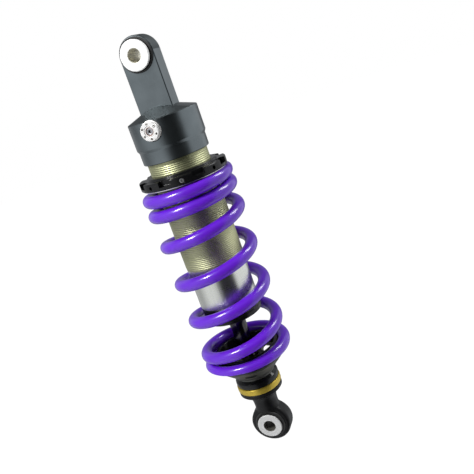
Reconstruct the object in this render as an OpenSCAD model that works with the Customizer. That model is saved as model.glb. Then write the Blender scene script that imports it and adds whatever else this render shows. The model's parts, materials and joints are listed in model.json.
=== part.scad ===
// Rear coilover: a gas damper inside a coil spring, with an eye at each end.
// Frame: +Z runs up the damper to the upper eye, whose centre is the origin.
// The eyes' bolts run along Y and the compression adjuster faces -Y.

/* [Length and stroke] */
// Distance between the two eyes' centres, at full length
eye_to_eye = 320; // [300:1:390]
// How far the rod slides in
stroke = 37; // [25:1:38]
// How far the preload collar can back off from where it stands
preload_up = 3; // [0:0.5:4]
// How far the preload collar can be screwed down
preload_down = 6; // [0:0.5:7]

/* [Eyes] */
// Bore for the bolt
bolt_d = 10; // [8:0.5:12]
// Width over the two spacers
eye_w = 22; // [20:0.5:26]
// Thickness of the upper lug
lug_t = 14; // [12:0.5:15]
// Thickness of the lower eye
foot_eye_t = 15; // [13:0.5:16]
// Metal left around the upper bearing
lug_wall = 3; // [2.5:0.5:4]
// Metal left around the lower bearing
foot_eye_wall = 6; // [4:0.5:8]
// Thickness of each dust seal
dust_seal_t = 1; // [0.8:0.1:1.2]

/* [Head] */
// From the upper eye down to the edge of the head
head_drop = 46; // [38:1:56]
// Height of the head's upper band
head_h = 21; // [18:1:26]
// Height of the band below its step
skirt_h = 11; // [8:1:14]
// How far the head stands out from the damper tube
head_wall = 3.5; // [3:0.25:5]
// Slope of the head's shoulder, in degrees
shoulder_angle = 20; // [12:1:30]
// Diameter of the compression adjuster
adjuster_d = 15; // [12:0.5:16]
// How far the compression adjuster stands out
adjuster_proud = 3.6; // [1:0.2:5]

/* [Damper tube] */
// Outer diameter of the damper tube
body_d = 48; // [42:0.5:58]
// Wall of the damper tube
body_wall = 4; // [3:0.25:5]
// Length of the threaded stretch below the head
thread_l = 89; // [60:1:100]
// Pitch of the collar's thread
thread_pitch = 1.5; // [1:0.25:2]
// Height of the end cap below the tube
end_cap_h = 14; // [10:1:16]
// Height of the floating piston
floating_h = 11; // [8:1:13]
// Height of the main piston
piston_h = 10; // [8:1:12]

/* [Rod] */
// Diameter of the piston rod
rod_d = 14; // [12:0.5:17]
// Diameter of the rebound needle
needle_d = 4; // [3:0.5:5]

/* [Spring] */
// Thickness of the spring's wire
wire_d = 10; // [8:0.25:12]
// Gap between the tube and the inside of the coils
coil_gap = 4; // [3:0.25:6]
// Number of turns, with the closed end ones
coil_turns = 7; // [6:0.1:7.4]
// Where the upper end of the wire starts, in degrees from +X
coil_start = 134; // [0:1:359]

/* [Collar] */
// Gap between the head and the preload collar
collar_drop = 11.5; // [9:0.5:16]
// Height of the preload collar
collar_h = 6.5; // [5:0.5:10]
// Number of slots around the preload collar
slot_n = 8; // [4:1:12]
// Width of each slot
slot_w = 10; // [6:0.5:12]
// Depth of each slot
slot_h = 4; // [2:0.1:5]

/* [Foot] */
// From the lower eye up to the shoulder that the rebound ring stands on
foot_shoulder = 35.5; // [30:0.5:38]
// Height of the rebound ring
ring_h = 5.2; // [4.5:0.1:7]
// Height of the lock ring above it
lock_h = 7; // [6:0.5:9]
// Height of the conical spring carrier
carrier_h = 14.6; // [12:0.2:16]
// Thickness of the lower seat's flange
flange_t = 5.3; // [4:0.1:8]
// Height of the bump stop
bump_h = 8; // [6:0.5:10]

/* [Hidden] */
$fn = 96;

// Play between a turning or sliding piece and what guides it, on the radius
run_gap = 0.05;
// Play between pieces that only stand beside each other
gap = 0.1;
// Overshoot of a cutting shape
cut = 1;

// Eyes: the ball holds the spacers' shanks, the race holds the ball
bolt_r = bolt_d / 2;
shank_r = bolt_r + 1;
ball_r = shank_r + 2.5;
ball_half = 5;
race_half = 4;
race_r = ball_r + 2.5;
clip_t = 1;
clip_depth = 0.7;
spacer_r = race_r + 0.4;
seal_r = race_r + 2;
tilt_room = 1.1;
lug_r = race_r + lug_wall;
foot_eye_r = race_r + foot_eye_wall;

// Damper tube and head
body_r = body_d / 2;
oil_r = body_r - body_wall;
head_r = body_r + head_wall;
skirt_r = body_r + 2.3;
// Below its thread the tube is turned down a little
// The plain stretch is ground a little below the crests of the thread
thread_share = 0.61;
plain_share = 0.3;
plain_r = body_r - plain_share * thread_share * thread_pitch;
head_z = -head_drop;
step_z = head_z - head_h;
skirt_z = step_z - skirt_h;
adjuster_z = head_z - 7;
adjuster_r = adjuster_d / 2;
tube_top_z = adjuster_z - adjuster_r - 0.6;
adjuster_face = head_r + adjuster_proud;
adjuster_seat = head_r - 11.5;
seal_groove = 1.65;
holes_n = 6;
holes_pcd_r = adjuster_r - 2;
bush_r = adjuster_r - 3.5;
bush_depth = 3;
screw_r = bush_r - 1.3;
wedge_r = screw_r - 0.1;
wedge_end = 3;
wedge_taper = 6;
vent_y = oil_r - 8;
gas_valve_r = 4;
gas_valve_seat = head_r - 14;

// Foot, from the lower eye up
foot_z = -eye_to_eye;
ring_z = foot_z + foot_shoulder;
lock_z = ring_z + ring_h + gap;
carrier_z = lock_z + lock_h;
seat_z = carrier_z + carrier_h + flange_t;
rod_r = rod_d / 2;
stem_r = rod_r + 5;
ring_r = stem_r + 7;
neck_r = rod_r + 3.3;
stem_top_z = carrier_z + 8;
rod_low_z = ring_z + ring_h + 1;
bump_z = stem_top_z + bump_h;

// The body's foot stands clear of the bump stop at full stroke with the collar backed off
stroke_room = stroke + preload_up + 0.8;
cap_low_z = bump_z + stroke_room;
tube_low_z = cap_low_z + end_cap_h;
guide_top_z = tube_low_z + 8;
topout_z = guide_top_z + 2.8;
lip_h = 3.4;

// Piston stack, from the rod's shoulder up; it stays clear of the top-out rubber
washer_t = 0.8;
shims_t = 1.8;
nut_h = 8;
rod_shoulder_z = topout_z + preload_down + 0.6;
piston_z = rod_shoulder_z + washer_t + shims_t;
nut_z = piston_z + piston_h + shims_t;
spigot_r = rod_r - 2;
spigot_top_z = nut_z + nut_h + 1.6;
needle_r = needle_d / 2;

// Fixed valve and floating piston, from the head down
base_z = tube_top_z - 46;
base_h = 6;
clip_h = 1.2;
valve_shims_t = 1.8;
guide_r = 5;
guide_bore_r = 3.2;
floating_z = tube_top_z - 16;

// Preload collar and spring
coil_in_r = body_r + coil_gap;
coil_r = coil_in_r + wire_d / 2;
collar_r = coil_r + 2;
collar_z = skirt_z - collar_drop;
collar_low_z = collar_z - collar_h;
slip_t = 0.8;
slot_turn = -48;
coil_top_z = collar_low_z - run_gap - slip_t;
coil_low_z = seat_z + run_gap;
coil_l = coil_top_z - coil_low_z;
// Closed end turns lie this far apart
closed_pitch = wire_d + 0.4;
// Turns over which the coil opens after the top end, and closes before the bottom end
open_from = 1;
open_over = 2;
close_over = 0.5;
close_to = 0.95;
// The lower end is ground flat, by this share of the wire's thickness beyond its middle
ground_share = 0.33;
coil_facets = 10;
coil_rings = 28;

// Share of the open pitch that the coil has after t turns
function ease(x) = let(c = min(max(x, 0), 1)) c * c * (3 - 2 * c);
function openness(t) = ease((t - open_from) / open_over)
    * ease((coil_turns - close_to - t) / close_over);
// Running sum of that share, by the middle of many short steps
sum_steps = 240;
sum_step = coil_turns / sum_steps;
opened = [
    for (i = 0, s = 0; i <= sum_steps; s = s + openness((i + 0.5) * sum_step) * sum_step, i = i + 1) s
];
function opened_at(t) = lookup(t, [for (i = [0:sum_steps]) [i * sum_step, opened[i]]]);
wire_l = coil_l + ground_share * wire_d;
open_l = wire_l - closed_pitch * coil_turns;
function wire_z(t) = coil_top_z - closed_pitch * t - open_l * opened_at(t) / opened[sum_steps];
function clamp_z(z) = min(max(z, coil_low_z), coil_top_z);

module ring(r_out, r_in, z_low, z_high) {
    translate([0, 0, z_low])
        difference() {
            cylinder(r = r_out, h = z_high - z_low);
            translate([0, 0, -cut]) cylinder(r = r_in, h = z_high - z_low + 2 * cut);
        }
}

// A ring or disc whose axis is Y, from y_low to y_high, in the plane at height z
module ring_y(r_out, r_in, y_low, y_high, z = 0) {
    translate([0, 0, z]) rotate([-90, 0, 0]) ring(r_out, r_in, y_low, y_high);
}

module rod_y(r, y_low, y_high, z = 0) {
    translate([0, y_low, z]) rotate([-90, 0, 0]) cylinder(r = r, h = y_high - y_low);
}

// A ring with rounded or bevelled rims
module bevel_ring(r_out, r_in, z_low, z_high, bevel) {
    rotate_extrude()
        polygon([
            [r_in, z_low], [r_out - bevel, z_low], [r_out, z_low + bevel],
            [r_out, z_high - bevel], [r_out - bevel, z_high], [r_in, z_high]
        ]);
}

module o_ring(r_mid, r_wire, z) {
    translate([0, 0, z]) rotate_extrude() translate([r_mid, 0]) circle(r = r_wire, $fn = 32);
}

// Eye bearing, the same at both ends: turned profiles with an arc of the ball's radius
function arc(r, half) = let(end = asin(half / r)) [for (i = [-8:8]) [r * cos(end * i / 8), r * sin(end * i / 8)]];

module race(z) {
    bore = arc(ball_r + run_gap, race_half);
    translate([0, 0, z]) rotate([-90, 0, 0])
        rotate_extrude()
            polygon(concat(bore, [[race_r - run_gap, race_half], [race_r - run_gap, -race_half]]));
}

module ball(z) {
    translate([0, 0, z]) rotate([-90, 0, 0])
        rotate_extrude()
            polygon(concat(
                arc(ball_r, ball_half),
                [[shank_r + run_gap, ball_half], [shank_r + run_gap, -ball_half]]
            ));
}

module circlip(z, side) {
    low = side > 0 ? race_half + gap : -race_half - gap - clip_t;
    translate([0, 0, z])
        difference() {
            ring_y(race_r + clip_depth - gap, race_r - 1.8, low, low + clip_t);
            translate([0, low + clip_t / 2, race_r]) cube([5, clip_t + cut, 6], center = true);
        }
}

module clip_grooves(z) {
    for (side = [-1, 1])
        rod_y(race_r + clip_depth, side * (race_half + gap + clip_t / 2) - clip_t / 2 - gap / 2,
            side * (race_half + gap + clip_t / 2) + clip_t / 2 + gap / 2, z);
}

module dust_seal(z, side, eye_t) {
    low = side > 0 ? eye_t / 2 + gap / 2 : -eye_t / 2 - gap / 2 - dust_seal_t;
    ring_y(seal_r, shank_r + 1.4, low, low + dust_seal_t, z);
}

module spacer(z, side, eye_t) {
    face = eye_w / 2;
    flange = eye_t / 2 + gap / 2 + dust_seal_t + tilt_room;
    translate([0, 0, z]) mirror([0, side > 0 ? 0 : 1, 0])
        difference() {
            union() {
                rod_y(shank_r, run_gap, flange + 0.2);
                rotate([-90, 0, 0]) bevel_ring(spacer_r, bolt_r, flange, face, 0.4);
            }
            rod_y(bolt_r, -cut, face + cut);
        }
}

module upper_mount() {
    fillet = 3;
    edge = 0.8;
    color("slategray")
        difference() {
            union() {
                translate([-lug_r, -lug_t / 2, head_z - 2]) cube([2 * lug_r, lug_t, -head_z + 2]);
                rod_y(lug_r, -lug_t / 2, lug_t / 2);
                rotate_extrude()
                    polygon(concat(
                        [
                            [0, tube_top_z],
                            [0, head_z + (head_r - lug_t / 2) * tan(shoulder_angle)],
                            [lug_t / 2, head_z + (head_r - lug_t / 2) * tan(shoulder_angle)],
                            [head_r - edge / 2, head_z + edge / 2 * tan(shoulder_angle)],
                            [head_r, head_z - edge],
                            [head_r, step_z + edge],
                            [skirt_r, step_z - edge / 2]
                        ],
                        [for (a = [0:15:90])
                            [skirt_r - fillet * (1 - cos(a)), skirt_z + fillet * (1 - sin(a))]],
                        [[body_r + gap, skirt_z], [body_r + gap, tube_top_z]]
                    ));
            }
            rod_y(race_r, -lug_t, lug_t);
            clip_grooves(0);
            // seat of the compression adjuster, its spindle's bore and the needle's drilling
            rod_y(adjuster_r + gap, -head_r - cut, -adjuster_seat, adjuster_z);
            rod_y(wedge_r + run_gap, -adjuster_seat - cut, wedge_end + 2, adjuster_z);
            translate([0, 0, tube_top_z - cut]) cylinder(r = 1.6, h = adjuster_z - tube_top_z + cut);
            translate([0, 0, tube_top_z - cut]) cylinder(r = guide_r, h = 4 + cut);
            // seat and drilling of the gas valve
            rod_y(gas_valve_r, gas_valve_seat, head_r + cut, adjuster_z);
            rod_y(1.2, vent_y, gas_valve_seat + cut, adjuster_z);
            translate([0, vent_y, tube_top_z - cut]) cylinder(r = 1.2, h = adjuster_z - tube_top_z + cut);
        }
}

module damper_tube() {
    thread_low_z = skirt_z - thread_l;
    color("darkkhaki")
        difference() {
            union() {
                ring(body_r, oil_r, thread_low_z, tube_top_z - run_gap);
                ring(plain_r, oil_r, tube_low_z, thread_low_z + cut);
            }
            for (z = [base_z + gap, base_z - base_h - clip_h - gap])
                translate([0, 0, z - gap]) cylinder(r = oil_r + 1, h = clip_h + 2 * gap);
            ring(body_r + cut, body_r - seal_groove, skirt_z + 7, skirt_z + 9);
        }
}

module tube_o_ring() {
    wire = 0.8;
    color("black") o_ring(body_r - seal_groove + gap + wire, wire, skirt_z + 8);
}

module upper_race() {
    color("silver") race(0);
}

module upper_ball() {
    color("gainsboro") ball(0);
}

module upper_circlips() {
    color("dimgray") for (side = [-1, 1]) circlip(0, side);
}

module upper_dust_seals() {
    color("black") for (side = [-1, 1]) dust_seal(0, side, lug_t);
}

module upper_spacers() {
    color("whitesmoke") for (side = [-1, 1]) spacer(0, side, lug_t);
}

module compression_body() {
    color("silver")
        difference() {
            union() {
                rod_y(adjuster_r, -adjuster_face + 0.5, -adjuster_seat - gap, adjuster_z);
                rod_y(adjuster_r - 0.5, -adjuster_face, -adjuster_seat - gap, adjuster_z);
            }
            rod_y(bush_r, -adjuster_face - cut, -adjuster_face + bush_depth, adjuster_z);
            rod_y(screw_r + run_gap, -adjuster_face, -adjuster_seat + cut, adjuster_z);
            for (i = [0:holes_n - 1])
                translate([
                    holes_pcd_r * cos((i + 0.5) * 360 / holes_n), 0,
                    holes_pcd_r * sin((i + 0.5) * 360 / holes_n)
                ])
                    rod_y(0.85, -adjuster_face - cut, -adjuster_face + 2.5, adjuster_z);
            // pocket of the click ball
            translate([0, -adjuster_face + 8, adjuster_z]) cylinder(r = 0.9, h = screw_r + 2.4);
        }
}

module compression_bush() {
    color("sienna")
        ring_y(bush_r - run_gap, screw_r + run_gap, -adjuster_face + 0.4, -adjuster_face + bush_depth, adjuster_z);
}

module compression_screw() {
    color("dimgray")
        difference() {
            rod_y(screw_r, -adjuster_face + 0.9, -adjuster_seat - 2.2, adjuster_z);
            translate([0, -adjuster_face + 0.9 - cut, adjuster_z]) rotate([-90, 0, 0])
                cylinder(r = 1.45, h = 2.4 + cut, $fn = 6);
        }
}

module compression_wedge() {
    color("silver")
        translate([0, 0, adjuster_z]) rotate([-90, 0, 0])
            rotate_extrude()
                polygon([
                    [0, -adjuster_seat - 1.1], [wedge_r, -adjuster_seat - 1.1],
                    [wedge_r, wedge_end - wedge_taper], [0.4, wedge_end], [0, wedge_end]
                ]);
}

module compression_needle() {
    top = adjuster_z - wedge_r - 0.15;
    tip = base_z + 1;
    color("silver") {
        translate([0, 0, tip]) cylinder(r = 1.5, h = top - tip);
        translate([0, 0, tip - 3]) cylinder(r1 = 0.4, r2 = 1.5, h = 3);
    }
}

module compression_detent() {
    y = -adjuster_face + 8;
    color("silver") {
        translate([0, y, adjuster_z + screw_r + 0.85]) sphere(r = 0.8, $fn = 32);
        translate([0, y, adjuster_z]) ring(0.8, 0.5, screw_r + 1.66, screw_r + 2.35);
    }
}

module needle_tube() {
    color("silver") ring(guide_r - run_gap, guide_bore_r, base_z + gap, tube_top_z + 4 - gap);
}

module gas_valve() {
    color("goldenrod")
        difference() {
            rod_y(gas_valve_r - run_gap, gas_valve_seat, head_r - 4, adjuster_z);
            rod_y(1.2, gas_valve_seat - cut, head_r, adjuster_z);
        }
}

module gas_valve_cap() {
    color("black")
        difference() {
            rod_y(gas_valve_r - run_gap, head_r - 4, head_r - 0.4, adjuster_z);
            translate([0, head_r - 0.4 - 2, adjuster_z]) rotate([-90, 0, 0])
                cylinder(r = 2, h = 2 + cut, $fn = 6);
        }
}

module floating_piston() {
    color("silver")
        difference() {
            ring(oil_r - run_gap, guide_r, floating_z - floating_h, floating_z);
            ring(oil_r + cut, oil_r - 2.2, floating_z - floating_h / 2 - 1.2, floating_z - floating_h / 2 + 1.2);
            translate([0, 0, floating_z - 3]) ring(oil_r - 4, guide_r + 4, 0, 3 + cut);
        }
}

module floating_o_ring() {
    color("black") o_ring(oil_r - 1.1, 1.04, floating_z - floating_h / 2);
}

module base_valve() {
    color("silver")
        difference() {
            ring(oil_r - run_gap, 4, base_z - base_h, base_z);
            for (a = [0:60:300])
                rotate([0, 0, a]) translate([oil_r - 8, 0, base_z - base_h - cut])
                    cylinder(r = 1.6, h = base_h + 2 * cut, $fn = 32);
        }
}

module base_valve_shims() {
    color("lightgray")
        for (i = [0:2])
            ring(oil_r - 5 - 1.5 * i, 4 + run_gap, base_z - base_h - 0.6 * (i + 1), base_z - base_h - 0.6 * i - 0.05);
}

module base_valve_bolt() {
    low = base_z - base_h - valve_shims_t;
    color("dimgray")
        difference() {
            union() {
                translate([0, 0, low]) cylinder(r = 4 - run_gap, h = base_z - low);
                translate([0, 0, low - 3]) cylinder(r = 6, h = 3, $fn = 6);
            }
            translate([0, 0, low - 4]) cylinder(r = 1.7, h = base_z - low + 4 + cut);
        }
}

module base_valve_clips() {
    color("dimgray")
        for (z = [base_z + gap, base_z - base_h - clip_h - gap])
            difference() {
                ring(oil_r + 1 - gap, oil_r - 1.2, z, z + clip_h);
                translate([oil_r, 0, z + clip_h / 2]) cube([8, 4, clip_h + cut], center = true);
            }
}

module end_cap() {
    color("black")
        difference() {
            rotate_extrude()
                polygon([
                    [rod_r + 3, guide_top_z], [oil_r - run_gap, guide_top_z],
                    [oil_r - run_gap, tube_low_z], [body_r - 0.6, tube_low_z],
                    [body_r - 0.6, cap_low_z + lip_h + 0.6], [body_r, cap_low_z + lip_h],
                    [body_r, cap_low_z + 0.6], [body_r - 0.6, cap_low_z], [rod_r + 3, cap_low_z]
                ]);
            ring(oil_r + cut, oil_r - 1.7, guide_top_z - 4.4, guide_top_z - 2.4);
        }
}

module head_o_ring() {
    wire = 0.81;
    color("dimgray") o_ring(oil_r - wire - 0.06, wire, guide_top_z - 3.4);
}

module rod_bush() {
    color("peru") ring(rod_r + 3 - run_gap, rod_r + run_gap, guide_top_z - 9, guide_top_z);
}

module rod_seal() {
    color("black") ring(rod_r + 3 - run_gap, rod_r + run_gap, guide_top_z - 15, guide_top_z - 10);
}

module rod_wiper() {
    color("dimgray") ring(rod_r + 3 - run_gap, rod_r + run_gap, cap_low_z + 0.3, cap_low_z + 4.5);
}

module topout_rubber() {
    color("black") bevel_ring(rod_r + 7, rod_r + 1, guide_top_z, topout_z, 0.6);
}

module preload_collar() {
    tooth = 360 / slot_n;
    bevel = 0.8;
    rise = 1.6;
    color("black")
        difference() {
            union() {
                bevel_ring(collar_r, body_r + gap, collar_low_z, collar_z, bevel);
                bevel_ring(body_r + 4, body_r + gap, collar_z - cut, collar_z + rise, 0.8);
            }
            for (i = [0:slot_n - 1])
                rotate([0, 0, slot_turn + i * tooth])
                    translate([collar_r - 4.5, -slot_w / 2, collar_z - slot_h]) cube([10, slot_w, 10]);
            for (i = [0:2:slot_n - 1])
                rotate([0, 0, slot_turn + (i + 0.5) * tooth])
                    translate([collar_r - 7, 0, (collar_z + collar_low_z) / 2]) rotate([0, 90, 0])
                        cylinder(r = 1.5, h = 10);
            rotate([0, 0, slot_turn - tooth / 2])
                translate([body_r + 3, 0, (collar_z + collar_low_z) / 2]) rotate([0, 90, 0])
                    cylinder(r = 2, h = 20);
        }
}

module collar_screw() {
    color("silver")
        rotate([0, 0, slot_turn - 180 / slot_n])
            translate([body_r + 3, 0, (collar_z + collar_low_z) / 2]) rotate([0, 90, 0])
                difference() {
                    cylinder(r = 2 - run_gap, h = collar_r - body_r - 3.4);
                    translate([0, 0, collar_r - body_r - 3.4 - 1.5]) cylinder(r = 1, h = 3, $fn = 6);
                }
}

module slip_washer() {
    color("gainsboro") ring(coil_r + 0.6, body_r + 0.5, coil_top_z, collar_low_z - run_gap);
}

module spring() {
    n = coil_facets;
    last = ceil(coil_turns * coil_rings);
    points = [
        for (i = [0:last])
            let(t = coil_turns * i / last, a = coil_start - 360 * t)
                for (j = [0:n - 1])
                    let(b = 360 * (j + 0.5) / n, r = coil_r + wire_d / 2 * cos(b))
                        [r * cos(a), r * sin(a), clamp_z(wire_z(t) + wire_d / 2 * sin(b))]
    ];
    faces = concat(
        [for (i = [0:last - 1], j = [0:n - 1])
            [i * n + j, (i + 1) * n + (j + 1) % n, (i + 1) * n + j]],
        [for (i = [0:last - 1], j = [0:n - 1])
            [i * n + j, i * n + (j + 1) % n, (i + 1) * n + (j + 1) % n]],
        [[for (j = [n - 1:-1:0]) j], [for (j = [0:n - 1]) last * n + j]]
    );
    color("blueviolet") polyhedron(points = points, faces = faces, convexity = 8);
}

module rod() {
    color("dimgray")
        difference() {
            rotate_extrude()
                polygon([
                    [needle_r + 0.5, rod_low_z], [rod_r - run_gap, rod_low_z], [rod_r - run_gap, stem_top_z],
                    [rod_r, stem_top_z], [rod_r, rod_shoulder_z], [spigot_r, rod_shoulder_z],
                    [spigot_r, spigot_top_z], [needle_r + 0.5, spigot_top_z]
                ]);
            // bleed hole above the needle's tip, below the piston
            translate([0, 0, rod_shoulder_z - 5]) rotate([0, 90, 0])
                cylinder(r = 1.2, h = 3 * rod_r, center = true, $fn = 32);
        }
}

module piston() {
    color("silver")
        difference() {
            ring(oil_r - 0.2, spigot_r + run_gap, piston_z, piston_z + piston_h);
            ring(oil_r + cut, oil_r - 1.6, piston_z + 2.4, piston_z + piston_h - 2.4);
            for (a = [0:60:300])
                rotate([0, 0, a]) translate([(oil_r + spigot_r) / 2, 0, piston_z - cut])
                    cylinder(r = 1.8, h = piston_h + 2 * cut, $fn = 32);
        }
}

module piston_band() {
    color("seagreen") ring(oil_r - run_gap, oil_r - 1.55, piston_z + 2.5, piston_z + piston_h - 2.5);
}

module piston_shims() {
    color("lightgray")
        for (i = [0:2]) {
            ring(oil_r - 4 - 1.5 * i, spigot_r + run_gap, piston_z + piston_h + 0.6 * i + 0.02,
                piston_z + piston_h + 0.6 * (i + 1));
            ring(oil_r - 5 - 1.5 * i, spigot_r + run_gap, piston_z - 0.6 * (i + 1), piston_z - 0.6 * i - 0.02);
        }
}

module piston_washers() {
    color("gray") ring(rod_r + 1.5, spigot_r + run_gap, rod_shoulder_z, rod_shoulder_z + washer_t);
}

module piston_nut() {
    color("gray")
        difference() {
            translate([0, 0, nut_z]) cylinder(r = spigot_r + 5, h = nut_h, $fn = 6);
            translate([0, 0, nut_z - cut]) cylinder(r = spigot_r + run_gap, h = nut_h + 2 * cut);
        }
}

module bump_stop() {
    color("black") bevel_ring(rod_r + 5.5, rod_r + 0.2, stem_top_z, bump_z, 1.5);
}

module lower_spring_seat() {
    spigot = coil_in_r - 0.4;
    wall = 3.4;
    spigot_h = 5.5;
    bevel = 1;
    color("black")
        rotate_extrude()
            polygon([
                [spigot - wall, seat_z - flange_t], [coil_in_r + 0.6, seat_z - flange_t],
                [coil_in_r + 1.6, seat_z - flange_t + bevel], [coil_in_r + 1.6, seat_z], [spigot, seat_z],
                [spigot, seat_z + spigot_h - bevel], [spigot - bevel, seat_z + spigot_h],
                [spigot - wall, seat_z + spigot_h]
            ]);
}

module spring_retainer() {
    top = seat_z - flange_t - gap / 2;
    r_top = coil_in_r + 0.4;
    r_low = stem_r + 4.5;
    wall = 3;
    windows = 5;
    first = -6;
    color("dimgray")
        difference() {
            rotate_extrude()
                polygon([
                    [stem_r + run_gap, carrier_z], [r_low, carrier_z], [r_low, carrier_z + 1.2],
                    [r_top, top - 1.4], [r_top, top], [r_top - wall, top],
                    [r_low - wall + 0.6, carrier_z + 4.2], [stem_r + run_gap, carrier_z + 4.2]
                ]);
            for (i = [0:windows - 1])
                rotate([0, 0, first + i * 360 / windows])
                    translate([(r_low + r_top) / 2 - 0.4, 0, (carrier_z + top) / 2 + 1.8]) rotate([0, 45 + 90, 0])
                        for (s = [-1, 1]) {
                            translate([0, s * 2.6, -8]) cylinder(r = 2.6, h = 16, $fn = 32);
                            translate([-2.6, -2.6, -8]) cube([5.2, 5.2, 16]);
                        }
        }
}

module lock_ring() {
    color("black") bevel_ring(ring_r - 0.5, stem_r + run_gap, lock_z, lock_z + lock_h - gap / 2, 1.4);
}

module rebound_wheel() {
    color("goldenrod")
        difference() {
            bevel_ring(ring_r, stem_r + run_gap, ring_z + gap / 2, ring_z + ring_h, 0.7);
            // groove that carries the cross pin
            ring(stem_r + 2.6, stem_r - cut, ring_z + 0.6, ring_z + ring_h - 0.6);
        }
}

pin_z = ring_z + ring_h / 2;
pin_r = 0.9;
pin_travel = 0.9;

module rebound_needle() {
    tip_z = rod_shoulder_z - 6;
    color("silver")
        difference() {
            union() {
                translate([0, 0, ring_z + 0.3]) cylinder(r = needle_r, h = tip_z - ring_z - 0.3);
                translate([0, 0, tip_z]) cylinder(r1 = needle_r, r2 = 0.4, h = 6);
            }
            translate([0, 0, pin_z]) rotate([0, 90, 0]) cylinder(r = pin_r, h = 4 * needle_r, center = true);
        }
}

module rebound_cross_pin() {
    color("gray")
        translate([0, 0, pin_z]) rotate([0, 90, 0])
            cylinder(r = pin_r - 0.01, h = 2 * (stem_r + 2.2), center = true);
}

module rebound_detent() {
    x = stem_r + 3.4;
    color("silver") {
        translate([x, 0, ring_z - 1.05]) sphere(r = 1, $fn = 32);
        translate([x, 0, 0]) ring(1, 0.6, ring_z - 4.5, ring_z - 2.1);
    }
}

module lower_mount() {
    eye_edge = 2.4;
    neck_z = ring_z - 16;
    color("black")
        difference() {
            union() {
                rotate_extrude()
                    polygon(concat(
                        [
                            [0, stem_top_z], [stem_r, stem_top_z], [stem_r, ring_z],
                            [ring_r - 1, ring_z], [ring_r - 0.4, ring_z - 0.8], [ring_r - 0.4, ring_z - 3.4]
                        ],
                        // the shoulder draws in to the neck in one curve
                        [for (a = [0:15:90])
                            [neck_r + (ring_r - 1.4 - neck_r) * (1 - sin(a)), ring_z - 4.4 - (neck_z - ring_z + 4.4) * (cos(a) - 1)]],
                        [[neck_r, foot_z], [0, foot_z]]
                    ));
                translate([0, 0, foot_z]) rotate([-90, 0, 0])
                    rotate_extrude()
                        polygon(concat(
                            [[0, -foot_eye_t / 2]],
                            [for (a = [-90:15:0])
                                [foot_eye_r - eye_edge + eye_edge * cos(a),
                                    -foot_eye_t / 2 + eye_edge + eye_edge * sin(a)]],
                            [for (a = [0:15:90])
                                [foot_eye_r - eye_edge + eye_edge * cos(a),
                                    foot_eye_t / 2 - eye_edge + eye_edge * sin(a)]],
                            [[0, foot_eye_t / 2]]
                        ));
            }
            rod_y(race_r, -foot_eye_t, foot_eye_t, foot_z);
            clip_grooves(foot_z);
            // flats beside the eye, where the seals and spacers go
            for (side = [-1, 1])
                rod_y(seal_r + 0.6, (side - 0.5) * foot_eye_t, (side + 0.5) * foot_eye_t, foot_z);
            // socket of the rod, bore of the needle and slot of the cross pin
            translate([0, 0, rod_low_z - gap]) cylinder(r = rod_r, h = stem_top_z - rod_low_z + gap + cut);
            translate([0, 0, ring_z - 0.8]) cylinder(r = needle_r + 0.4, h = 20);
            translate([0, 0, pin_z])
                cube([4 * stem_r, 2 * pin_r + 2 * run_gap, 2 * (pin_r + pin_travel + 0.1)], center = true);
            translate([stem_r + 3.4, 0, ring_z - 4.6]) cylinder(r = 1.1, h = 5);
        }
}

module lower_race() {
    color("silver") race(foot_z);
}

module lower_ball() {
    color("gainsboro") ball(foot_z);
}

module lower_circlips() {
    color("dimgray") for (side = [-1, 1]) circlip(foot_z, side);
}

module lower_dust_seals() {
    color("black") for (side = [-1, 1]) dust_seal(foot_z, side, foot_eye_t);
}

module lower_spacers() {
    color("lightgray") for (side = [-1, 1]) spacer(foot_z, side, foot_eye_t);
}

upper_mount();
damper_tube();
tube_o_ring();
upper_race();
upper_circlips();
upper_dust_seals();
upper_ball();
upper_spacers();
compression_body();
compression_bush();
compression_screw();
compression_wedge();
compression_needle();
compression_detent();
needle_tube();
gas_valve();
gas_valve_cap();
floating_piston();
floating_o_ring();
base_valve();
base_valve_shims();
base_valve_bolt();
base_valve_clips();
end_cap();
head_o_ring();
rod_bush();
rod_seal();
rod_wiper();
topout_rubber();
preload_collar();
collar_screw();
slip_washer();
spring();
rod();
piston();
piston_band();
piston_shims();
piston_washers();
piston_nut();
bump_stop();
lower_spring_seat();
spring_retainer();
lock_ring();
rebound_wheel();
rebound_needle();
rebound_cross_pin();
rebound_detent();
lower_mount();
lower_race();
lower_circlips();
lower_dust_seals();
lower_ball();
lower_spacers();
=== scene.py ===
import json
import math

import bmesh
import bpy
from mathutils import Matrix, Vector


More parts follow.
